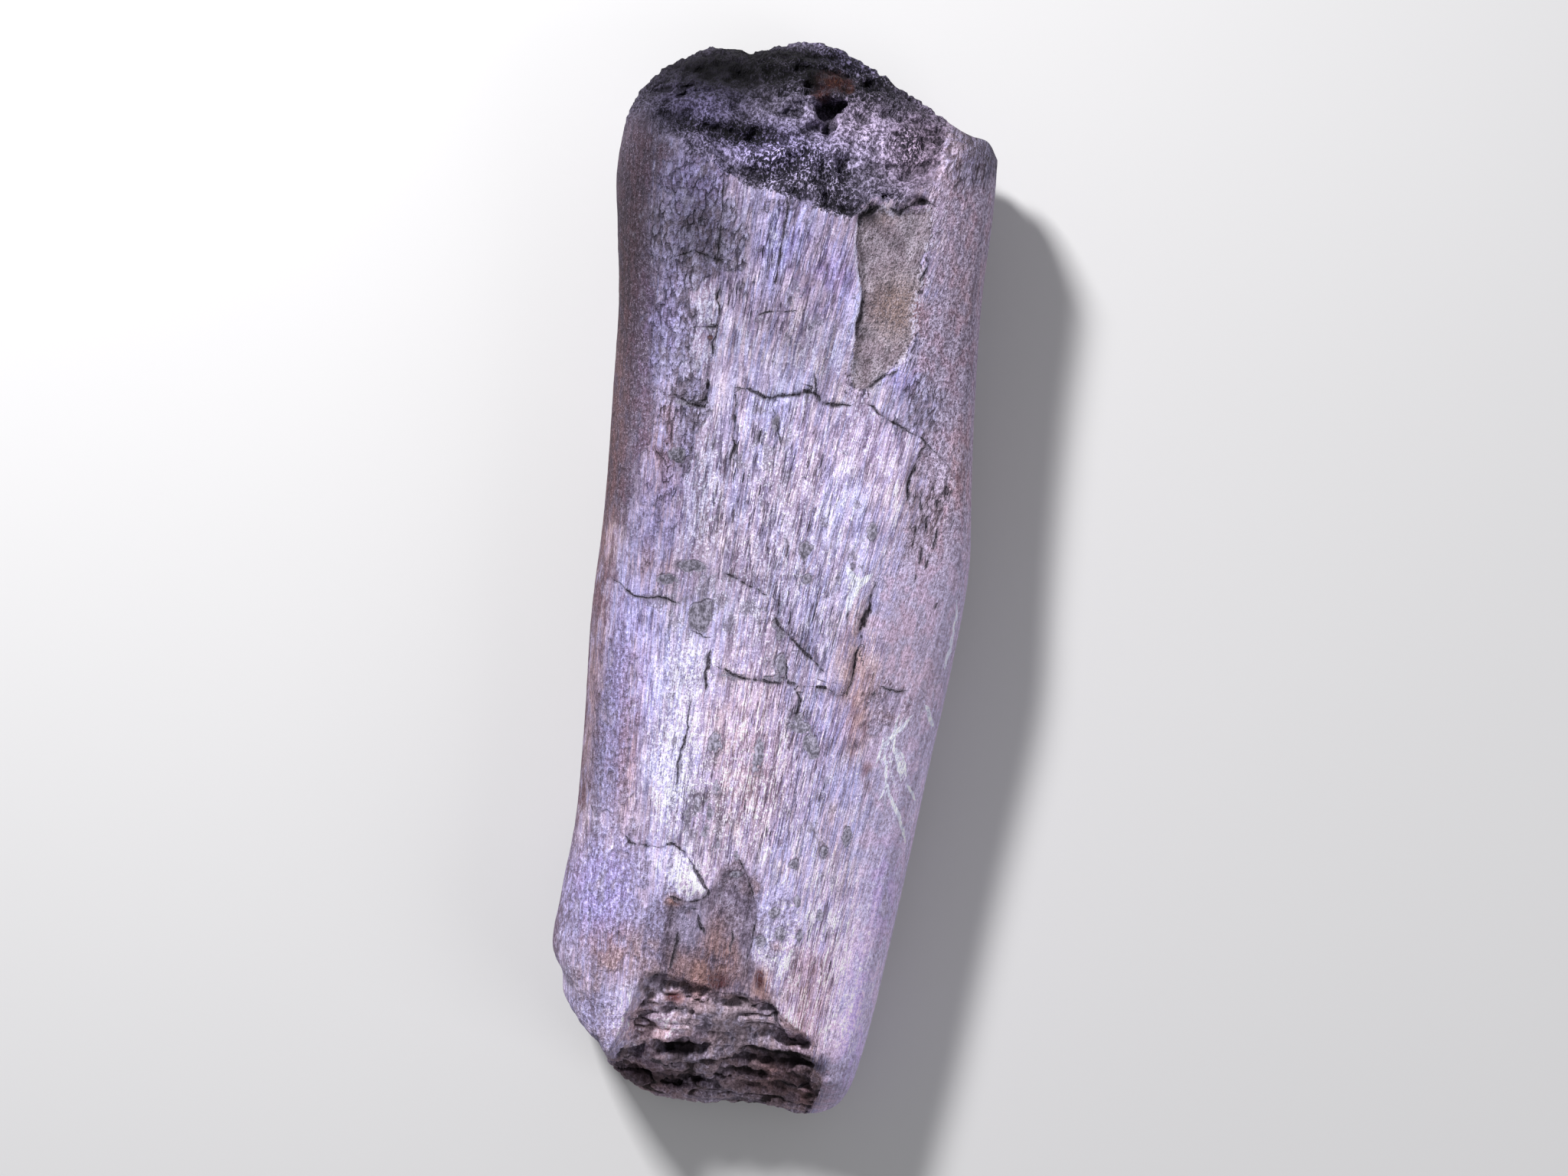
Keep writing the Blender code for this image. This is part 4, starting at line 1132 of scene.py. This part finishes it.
def find_zones(t, f, p):
    """How far each place lies in each zone, 0 to 1, with crisp, uneven edges."""
    fingers = t.weigh(p.dash, 16.0, t.weigh(p.medium, 14.0, -14.0))
    crisp = t.ramp(t.plus(f.spongy, t.plus(p.wobble, fingers)), -1.0, 1.6)
    thinning = t.plus(f.spongy, t.weigh(p.small, 26.0, t.times(t.less(p.medium, 1.0), 34.0)))
    faded = t.times(t.ramp(thinning, -14, 10), f.faded_break)
    p.spongy = t.plus(t.times(crisp, t.less(1.0, f.faded_break)), faded)
    blurred = t.ramp(f.lip, 0.0, 1.0, 14.0, 1.0)
    tan_at = t.weigh(t.less(p.medium, 0.5), blurred, t.plus(f.tan, p.wobble))
    p.tan = t.ramp(tan_at, -0.3, t.ramp(f.lip, 0.0, 1.0, 3.0, 0.6))
    p.spalled = t.ramp(t.weigh(p.medium, 22.0, t.less(f.spalled, 11.0)), -4.0, 2.0)
    p.dab = t.ramp(t.plus(f.dab, t.times(p.wobble, 1.1)), -0.4, 0.5)
    ragged = t.weigh(p.large, 60.0, t.weigh(p.medium, 56.0, t.weigh(p.dash, 24.0, -70.0)))
    p.flank = t.ramp(t.plus(f.flank, ragged), -8, 8)
    p.scaly = t.ramp(t.plus(f.scaly, t.times(t.less(p.medium, 0.5), 1.6)), 0.3, 0.62)
    p.brown = t.times(f.brown, t.ramp(t.plus(t.times(p.medium, 0.6), t.times(p.streaks, 0.4)), 0.34, 0.54))


def find_cracks(t, f, p):
    """Thin dark cracks, beaded along their length, and darker bone beside them."""
    off_crack = t.off_zero(t.plus(f.crack, t.times(p.wobble, 0.45)))
    bead = t.plus(t.ramp(p.medium, 0.42, 0.6, -0.25, 0.75), t.ramp(p.small, 0.42, 0.6, -0.1, 0.6))
    past_opening = t.less(off_crack, t.times(f.crack_width, bead))
    p.crack = t.times(t.ramp(past_opening, 0.3, -0.35), t.ramp(f.crack_width, 0.05, 0.3))
    p.near_crack = t.times(t.ramp(past_opening, 2.4, 0.0), t.ramp(f.crack_width, 0.1, 0.5))


def find_strands(t, f, p):
    """Long cells along the grain, each with its own tone, parted by grooves, seams and slits."""
    p.off_strand, p.strand_tone, p.strand_hue, strand_gap = t.grain_cells(p, 1.65, 21, 2.2, 0.25)
    off_chip, p.chip_tone, _, _ = t.grain_cells(p, 4.6, 17, 1.2, 0.5)
    seam_at = t.noise(p.grain, 2.4, 44, 2, 0.45, "2D")
    p.fibrous = t.plus(t.times(f.fibrous, 0.55), t.ramp(p.split, 0.4, 0.62, 0.0, 0.6))
    p.groove = t.times(t.ramp(p.off_strand, 0.46, 0.74), p.fibrous, 0.6)
    middle_of_seam = t.ramp(t.off_zero(t.less(seam_at, 0.5)), 0.042, 0.016)
    p.seam = t.times(middle_of_seam, t.ramp(p.split, 0.4, 0.52), t.ramp(f.fibrous, 0.0, 0.8, 0.35, 1.0))
    p.chip_edge = t.times(t.ramp(off_chip, 0.5, 0.78), t.ramp(p.small, 0.36, 0.56))
    p.slit = t.times(
        t.ramp(strand_gap, 0.86, 0.89), t.ramp(p.off_strand, 0.36, 0.2), t.ramp(p.split, 0.46, 0.54),
        t.ramp(f.fibrous, 0.1, 0.7))


def fibrous_tone(t, f, p):
    """Outer bone between the flanks: pale strands on lilac, with grooves, blotches, specks and seams."""
    base = t.mix(t.ramp(p.large, 0.36, 0.64), (0.37, 0.315, 0.445), (0.5, 0.45, 0.62))
    light = t.mix(t.ramp(p.medium, 0.36, 0.6), (0.62, 0.56, 0.73), (0.92, 0.88, 0.98))
    lit = t.times(
        t.ramp(p.strand_tone, 0.08, 0.55), t.ramp(p.streaks, 0.36, 0.56), t.ramp(p.off_strand, 0.7, 0.35))
    even = t.ramp(p.fibrous, 0.1, 0.8, 0.32, 0.0)
    lit = t.plus(even, t.times(lit, t.less(1.0, even), t.ramp(p.chip_tone, 0.0, 0.9, 0.45, 1.0)))
    tone = t.mix(lit, base, light)
    hue = t.weigh(p.strand_hue, 0.45, t.times(p.large, 0.9))
    tone = t.tinted(tone, t.mix(t.ramp(hue, 0.4, 1.0), (1.12, 0.95, 0.92), (0.88, 0.93, 1.16)), 0.75)
    tone = t.cover(tone, t.mix(f.brown, (0.125, 0.092, 0.15), (0.17, 0.092, 0.08)), p.groove, 0.9)
    blotch_at = t.weigh(f.blotched, 0.12, t.weigh(p.small, 0.35, t.times(p.medium, 0.65)))
    blotch_tone = t.mix(p.small, (0.185, 0.155, 0.205), (0.35, 0.31, 0.39))
    tone = t.cover(tone, blotch_tone, t.ramp(blotch_at, 0.595, 0.635), 0.85)
    bloom_at = t.weigh(f.bloom, 0.17, t.weigh(p.tiny, 0.4, t.times(p.small, 0.6)))
    bloom = t.times(t.ramp(bloom_at, 0.56, 0.7), t.ramp(p.groove, 0.8, 0.1))
    tone = t.cover(tone, (0.84, 0.82, 0.98), bloom, 0.8)
    specks = t.ramp(p.tiny, 0.42, 0.3)
    tone = t.cover(tone, (0.13, 0.1, 0.15), specks, 0.55)
    tone = t.cover(tone, (0.13, 0.1, 0.145), p.chip_edge, t.ramp(p.split, 0.42, 0.58, 0.1, 0.5))
    tone = t.cover(tone, (0.022, 0.018, 0.026), p.slit, 0.95)
    seam_tone = t.mix(f.brown, (0.075, 0.055, 0.085), (0.2, 0.115, 0.105))
    return t.cover(tone, seam_tone, p.seam, t.ramp(p.dash, 0.34, 0.52, 0.95, 0.6))


def scaly_tone(t, f, p):
    """Scaly bone, lilac and brown: short flakes along the grain, each with its own tone, and dark gaps."""
    off_flake, p.flake_tone, _, _ = t.grain_cells(p, 2.7, 8.5, 3.0, 0.9)
    p.flaking = t.ramp(f.rough_side, 0.5, 0.9, 0.3, 1.0)
    p.flake_gap = t.times(t.ramp(off_flake, 0.44, 0.7), t.ramp(p.medium, 0.34, 0.54), p.flaking)
    tone = t.mix(t.ramp(p.mottle, 0.4, 0.57), (0.22, 0.175, 0.25), (0.5, 0.455, 0.71))
    brownish = t.mix(p.dash, (0.24, 0.165, 0.195), (0.5, 0.39, 0.47))
    tone = t.cover(tone, brownish, t.ramp(p.medium, 0.48, 0.58), 0.6)
    pale_blotch = t.ramp(p.mottle, 0.54, 0.6)
    tone = t.cover(tone, (0.74, 0.7, 0.93), pale_blotch, 0.7)
    pale_flake = t.ramp(p.flake_tone, 0.45, 0.95, 0.0, 0.55)
    tone = t.cover(tone, (0.64, 0.6, 0.8), pale_flake, p.flaking)
    dark_flake = t.ramp(p.flake_tone, 0.5, 0.05, 0.0, 0.7)
    tone = t.cover(tone, (0.175, 0.14, 0.165), dark_flake, p.flaking)
    tone = t.cover(tone, (0.06, 0.048, 0.068), p.flake_gap, 0.8)
    short_gap = t.times(t.ramp(p.dash, 0.39, 0.31), t.ramp(p.medium, 0.4, 0.56))
    return t.cover(tone, (0.045, 0.035, 0.052), short_gap, t.ramp(p.flaking, 0.3, 1.0, 0.5, 0.8))


def flank_tone(t, f, p):
    """The flanks: grainy and browner, and smoother low on the right. Darkest on the left, partly in their own
    tone and partly as painted shade of a flank turned from the light.
    """
    # The dark left colour is partly painted shade.
    left = t.mix(t.ramp(p.mottle, 0.38, 0.6), (0.135, 0.094, 0.13), (0.235, 0.176, 0.23))
    grainy = t.mix(t.ramp(p.small, 0.34, 0.66), (0.31, 0.24, 0.32), (0.62, 0.53, 0.69))
    even = t.mix(t.ramp(p.mottle, 0.34, 0.62), (0.43, 0.345, 0.46), (0.61, 0.555, 0.76))
    tone = t.mix(f.left, t.mix(f.rough_side, even, grainy), left)
    tone = t.tinted(tone, (1.12, 0.88, 0.86), t.ramp(p.medium, 0.46, 0.6), 0.5)
    pale_dash = t.ramp(p.dash, 0.56, 0.68)
    tone = t.cover(tone, (0.46, 0.39, 0.54), pale_dash, t.ramp(f.left, 0, 1, 0.15, 0.45))
    crumbs = t.times(t.ramp(p.tiny, 0.56, 0.68), t.ramp(p.small, 0.4, 0.6), f.rough_side)
    tone = t.cover(tone, (0.66, 0.58, 0.74), crumbs, 0.8)
    pit = t.ramp(p.tiny, 0.44, 0.33)
    pitted = t.times(t.ramp(f.rough_side, 0, 1, 0.15, 0.75), t.ramp(f.left, 0, 1, 1.0, 0.6))
    return t.cover(tone, (0.06, 0.042, 0.055), pit, pitted)


def add_tan_patch(t, f, p, outer):
    """The tan patch, with a broken painted shadow and a painted highlight along its lip, and crumbs along its
    other edge.
    """
    tone = t.mix(t.ramp(p.medium, 0.36, 0.64), (0.3, 0.235, 0.27), (0.46, 0.39, 0.44))
    tone = t.cover(tone, (0.32, 0.22, 0.185), f.brown, t.ramp(p.small, 0.3, 0.6, 0.5, 0.95))
    blotch = t.ramp(p.small, 0.45, 0.36)
    pale_speck, dark_speck = t.ramp(p.tiny, 0.56, 0.68), t.ramp(p.tiny, 0.45, 0.34)
    tone = t.cover(tone, (0.14, 0.105, 0.11), blotch, 0.6)
    tone = t.cover(tone, (0.58, 0.52, 0.6), pale_speck, 0.5)
    tone = t.cover(tone, (0.09, 0.068, 0.072), dark_speck, 0.7)
    outer = t.mix(p.tan, outer, tone)
    # A painted shadow just inside the lip, and a painted highlight on its edge just outside.
    from_edge = t.plus(f.tan, t.times(p.wobble, 0.6))
    painted_lip_shadow = t.times(
        t.ramp(from_edge, -0.4, 0.2), t.ramp(from_edge, 2.2, 0.3), t.ramp(p.medium, 0.4, 0.56), f.lip)
    outer = t.cover(outer, (0.05, 0.038, 0.045), painted_lip_shadow, 0.85)
    rim = t.times(t.ramp(from_edge, -2.6, -0.6), t.ramp(from_edge, 0.2, -0.4), f.lip)
    outer = t.cover(outer, (0.74, 0.71, 0.85), rim, 0.6)
    crumbling = t.times(t.ramp(t.off_zero(f.tan), 7.0, 1.0), t.less(1.0, f.lip))
    outer = t.cover(outer, (0.64, 0.59, 0.72), crumbling, t.ramp(p.mottle, 0.51, 0.56), 0.8)
    return t.cover(outer, (0.055, 0.044, 0.055), crumbling, t.ramp(p.mottle, 0.46, 0.41), 0.9)


def add_spalled_hollow(t, f, p, outer):
    """The hollow low on the shaft: mauve, violet at its upper left and rusty brown low down."""
    tone = t.mix(t.ramp(p.mottle, 0.38, 0.6), (0.13, 0.098, 0.135), (0.31, 0.25, 0.32))
    pale = t.times(t.ramp(p.small, 0.52, 0.64), t.ramp(p.medium, 0.42, 0.58))
    tone = t.cover(tone, (0.46, 0.41, 0.55), pale, 0.5)
    violet_tone = t.mix(p.small, (0.28, 0.26, 0.38), (0.58, 0.55, 0.76))
    tone = t.cover(tone, violet_tone, f.violet, t.ramp(p.medium, 0.36, 0.54))
    brown_tone = t.mix(t.ramp(p.mottle, 0.4, 0.58), (0.19, 0.095, 0.08), (0.44, 0.245, 0.205))
    tone = t.cover(tone, brown_tone, p.brown, 0.9)
    return t.cover(outer, tone, p.spalled, 0.85)


def add_dabs_and_scratches(t, f, p, outer):
    """Grey dabs with a broken ring of painted shade round their edge, and white scratches."""
    dab_tone = t.mix(t.ramp(p.small, 0.38, 0.62), (0.135, 0.122, 0.15), (0.29, 0.265, 0.325))
    outer = t.mix(p.dab, outer, dab_tone)
    # Painted shade round the edge of each raised dab, broken up by noise.
    dab_rim_painted_shade = t.times(t.ramp(f.dab, -1.4, -0.2), t.ramp(f.dab, 0.5, 0.0))
    outer = t.cover(outer, (0.07, 0.055, 0.075), dab_rim_painted_shade, t.ramp(p.medium, 0.4, 0.6, 0.0, 0.6))
    off_scratch = t.off_zero(t.plus(f.scratch, t.times(p.wobble, 0.3)))
    scratch = t.ramp(t.less(off_scratch, t.times(f.scratch_width, 0.9)), 0.25, -0.25)
    scratch = t.times(scratch, t.ramp(f.scratch_width, 0.1, 0.3), t.ramp(p.small, 0.24, 0.38))
    return t.cover(outer, (0.82, 0.82, 0.96), scratch, 0.9)


def spongy_tone(t, f, p):
    """Spongy bone: pores in a net of thin light walls, larger where the bone is coarse. The narrow end is
    layered, with dark crevices in place of most pores."""
    open_cell = t.cells(t.bent(p, p.place, 1.9, 3.1, 1.6, 1.3))["Distance"]
    contrast = t.ramp(t.plus(f.coarse, t.weigh(p.medium, 1.6, -0.8)), -0.1, 0.8, 0.22, 1.0)
    openness = t.times(t.ramp(t.plus(f.coarse, t.times(p.medium, 0.9)), 0.3, 1.2, 0.3, 0.5), f.porous)
    coarse_pore = t.ramp(t.less(open_cell, openness), 0.12, -0.1)
    fine_pore = t.ramp(t.weigh(p.tiny, 0.55, t.times(p.small, 0.45)), 0.47, 0.41)
    p.pore = t.times(p.spongy, contrast, t.most(coarse_pore, t.times(fine_pore, f.porous, 0.8)))
    wall = t.mix(t.ramp(p.small, 0.38, 0.62), (0.125, 0.102, 0.155), (0.44, 0.385, 0.53))
    glint = t.ramp(p.tiny, 0.56, 0.7)
    wall = t.cover(wall, (0.6, 0.56, 0.7), glint, t.ramp(p.medium, 0.4, 0.6, 0.0, 0.6))
    wall = t.tinted(wall, (0.86, 0.84, 1.28), f.violet, 0.8)
    darker = t.ramp(p.large, 0.35, 0.65, 0.4, 0.0)
    wall = t.cover(wall, (0.07, 0.06, 0.085), darker)
    layer_at = t.weigh(p.small, 0.6, t.times(p.medium, 0.4))
    layer = t.mix(t.ramp(layer_at, 0.4, 0.6), (0.235, 0.188, 0.235), (0.55, 0.475, 0.59))
    stained = t.mix(p.small, (0.12, 0.08, 0.085), (0.46, 0.335, 0.34))
    layer = t.cover(layer, stained, t.ramp(p.medium, 0.42, 0.56), 0.7)
    wall = t.mix(t.ramp(f.porous, 0.9, 0.3), wall, layer)
    crevice = t.ramp(t.plus(f.crevice, t.weigh(p.small, 1.4, -0.7)), 0.45, 0.9)
    wall = t.cover(wall, (0.024, 0.016, 0.018), crevice, 0.95)
    wall = t.tinted(wall, (0.95, 0.62, 0.52), f.brown, 0.75)
    return t.cover(wall, (0.01, 0.009, 0.014), p.pore, 0.96)


def add_stains_and_shade(t, f, p, tone):
    """Rust, cracks, and places of painted shade with some dark stains. Then a multiplier: painted shade in
    hollows, the spots of painted light, shade and tone, and darker long streaks and fine grit.
    """
    rust = t.ramp(t.weigh(p.small, 0.8, f.rust), 0.6, 0.95)
    rust_tone = t.mix(t.ramp(f.rust, 0.6, 1.0), (0.095, 0.032, 0.034), (0.165, 0.046, 0.036))
    orange = t.times(t.ramp(p.small, 0.53, 0.62), t.ramp(f.rust, 0.6, 1.0))
    rust_tone = t.cover(rust_tone, (0.62, 0.22, 0.06), orange)
    grey_spot = t.ramp(p.mottle, 0.51, 0.57, 0.0, 0.8)
    rust_tone = t.cover(rust_tone, (0.14, 0.105, 0.13), grey_spot)
    tone = t.cover(tone, rust_tone, rust, 0.95)
    beside_crack = t.mix(p.small, (0.085, 0.068, 0.085), (0.27, 0.24, 0.29))
    tone = t.cover(tone, beside_crack, p.near_crack, t.ramp(p.medium, 0.4, 0.6, 0.25, 0.7))
    tone = t.cover(tone, (0.018, 0.013, 0.018), p.crack, t.ramp(p.dash, 0.38, 0.54, 0.97, 0.65))
    # Painted shadows in ledges, pits and hollows, with some darker stains, tinted in as a dark blue-grey.
    painted_shade_and_stain_at = t.plus(t.times(p.medium, 0.5), t.times(p.small, 0.5))
    dim = t.times(f.dim, t.ramp(painted_shade_and_stain_at, 0.34, 0.6, 0.35, 1.0))
    tone = t.tinted(tone, (0.16, 0.14, 0.2), dim, 0.85)
    long_streaks = t.noise(p.grain, 4.5, 130, 1, 0.5, "2D")
    grit = t.weigh(p.tiny, 0.5, t.times(p.small, 0.5))
    # Painted light and shade: darker in hollows by the cavity, and the tone spots; the streaks and grit are
    # the bone's own.
    painted_shade_and_tone = t.times(
        t.ramp(f.cavity, -2.4, 0.1, 0.38, 1.0), f.tone, t.ramp(long_streaks, 0.3, 0.7, 0.86, 1.14),
        t.ramp(grit, 0.32, 0.68, 0.74, 1.26))
    painted_shade_and_tone_channels = {channel: t.times(painted_shade_and_tone, share) for channel, share in enumerate((0.95, 0.96, 1.03))}
    tone = t.vectors("MULTIPLY", tone, t.add("ShaderNodeCombineColor", painted_shade_and_tone_channels).outputs[0])
    return t.vectors("MINIMUM", tone, (0.95, 0.95, 0.98))


def fine_relief(t, f, p):
    """Height, in mm, of the relief too fine for the mesh."""
    covered = t.most(t.ramp(f.tan, -1, 1), t.most(t.ramp(f.dab, -0.5, 0.5), t.ramp(f.spongy, -1, 1)))
    bare = t.times(
        t.less(1.0, covered), t.ramp(f.flank, -8, 8, 1.0, 0.15), t.ramp(f.scaly, 0.3, 0.7, 1.0, 0.4))
    strands = t.weigh(p.chip_tone, 0.35, t.weigh(p.strand_tone, 0.35, t.times(p.off_strand, p.fibrous, -0.9)))
    lines = t.plus(t.times(p.slit, -1.0), t.times(p.seam, -0.9))
    height = t.times(bare, t.plus(strands, t.weigh(p.streaks, 0.8, lines)))
    height = t.weigh(p.dash, t.weigh(t.times(p.scaly, p.flaking), 1.2, 0.6), height)
    flakes = t.weigh(p.flake_tone, 0.9, t.times(p.flake_gap, -1.1))
    height = t.plus(height, t.times(p.scaly, p.flaking, flakes))
    height = t.weigh(p.pore, -1.5, height)
    height = t.weigh(p.crack, -1.5, height)
    gritty = t.most(t.times(p.flank, f.rough_side), t.most(p.tan, p.scaly))
    height = t.weigh(p.small, t.ramp(gritty, 0.0, 1.0, 0.7, 1.9), height)
    return t.weigh(p.tiny, t.ramp(gritty, 0.0, 1.0, 0.4, 1.1), height)


def bone_material():
    """Weathered fossil bone: fibrous between the flanks, scaly in places, and spongy past the breaks."""
    material = bpy.data.materials.new("fossil_bone")
    t = Tree(material)
    f, p = shared_patterns(t)
    find_zones(t, f, p)
    find_cracks(t, f, p)
    find_strands(t, f, p)
    outer = fibrous_tone(t, f, p)
    outer = t.cover(outer, flank_tone(t, f, p), p.flank, t.ramp(p.large, 0.25, 0.55, 0.8, 1.0))
    outer = t.cover(outer, scaly_tone(t, f, p), p.scaly, 0.9)
    outer = t.tinted(outer, (0.84, 0.8, 1.22), f.violet, t.ramp(p.medium, 0.34, 0.6), 0.8)
    outer = t.tinted(outer, (0.93, 0.69, 0.5), p.brown, 0.9)
    outer = add_tan_patch(t, f, p, outer)
    outer = add_spalled_hollow(t, f, p, outer)
    outer = add_dabs_and_scratches(t, f, p, outer)
    tone = t.mix(p.spongy, outer, spongy_tone(t, f, p))
    t.put(t.shader.inputs["Base Color"], add_stains_and_shade(t, f, p, tone))
    t.put(t.shader.inputs["Roughness"], t.ramp(p.small, 0.3, 0.7, 0.72, 0.92))
    t.shader.inputs["Specular IOR Level"].default_value = 0.15
    bump = t.add("ShaderNodeBump", {"Strength": 1.0, "Distance": 0.001, "Height": fine_relief(t, f, p)})
    t.put(t.shader.inputs["Normal"], bump.outputs["Normal"])
    return material


def plain_material(name, colour, roughness):
    """An even material that is a little darker in soft spots of half a metre."""
    material = bpy.data.materials.new(name)
    t = Tree(material)
    place = t.add("ShaderNodeTexCoord", {}).outputs["Object"]
    darker = tuple(0.97 * c for c in colour)
    t.put(t.shader.inputs["Base Color"], t.mix(t.noise(place, 0.5, 0.5), darker, colour))
    t.shader.inputs["Roughness"].default_value = roughness
    return material


def make_floor():
    """A level pale square under the bone, eight metres wide."""
    mesh = bpy.data.meshes.new("floor")
    half = 4.0
    corners = [(-half, -half, 0), (half, -half, 0), (half, half, 0), (-half, half, 0)]
    mesh.from_pydata(corners, [], [(0, 1, 2, 3)])
    mesh.materials.append(plain_material("pale_floor", (0.68, 0.68, 0.68), 0.9))
    floor = bpy.data.objects.new("floor", mesh)
    bpy.context.scene.collection.objects.link(floor)


def make_lamp(name, place, size, power, colour):
    """A square lamp of the given side in metres, turned towards the bone."""
    data = bpy.data.lights.new(name, "AREA")
    data.shape = "SQUARE"
    data.size, data.energy, data.color = size, power, colour
    lamp = bpy.data.objects.new(name, data)
    lamp.location = place
    lamp.rotation_euler = (Vector((0, 0, 0.08)) - Vector(place)).to_track_quat("-Z", "Y").to_euler()
    bpy.context.scene.collection.objects.link(lamp)


def make_camera(shift):
    """Looks straight down through a long lens, turned so that the bone leans as in the photograph."""
    lean = math.radians(5)
    mm_per_pixel, picture_width = 0.62, 2048
    bone_pixel, middle_pixel = (1010, 755), (1024, 768)
    off = [mm_per_pixel * (m - b) for m, b in zip(middle_pixel, bone_pixel)]
    x = off[0] * math.cos(lean) + off[1] * math.sin(lean) - shift[0]
    y = off[0] * math.sin(lean) - off[1] * math.cos(lean) - shift[1]
    rim_height, distance = 0.07, 3.2
    data = bpy.data.cameras.new("camera")
    data.sensor_width = 36
    data.lens = data.sensor_width * distance * 1000 / (mm_per_pixel * picture_width)
    camera = bpy.data.objects.new("camera", data)
    camera.location = (x / 1000, y / 1000, rim_height + distance)
    camera.rotation_euler = (0, 0, lean)
    bpy.context.scene.collection.objects.link(camera)
    bpy.context.scene.camera = camera


def light_the_scene():
    """Plain light: a small key lamp at the upper left, a large weak one opposite, and an even grey sky."""
    world = bpy.data.worlds.new("soft_grey")
    world.use_nodes = True
    background = world.node_tree.nodes["Background"]
    background.inputs["Color"].default_value = (0.9, 0.91, 0.95, 1)
    background.inputs["Strength"].default_value = 0.27
    bpy.context.scene.world = world
    make_lamp("key", (-1.35, 1.8, 2.1), 0.45, 122, (1.0, 0.99, 1.0))
    make_lamp("fill", (2.2, -1.2, 1.9), 1.6, 18, (1.0, 0.98, 1.0))
    bpy.context.scene.view_settings.view_transform = "Standard"


bone, shift = make_bone()
bone.data.materials.append(bone_material())
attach(bone, "root")
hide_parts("bone")
make_floor()
light_the_scene()
make_camera(shift)
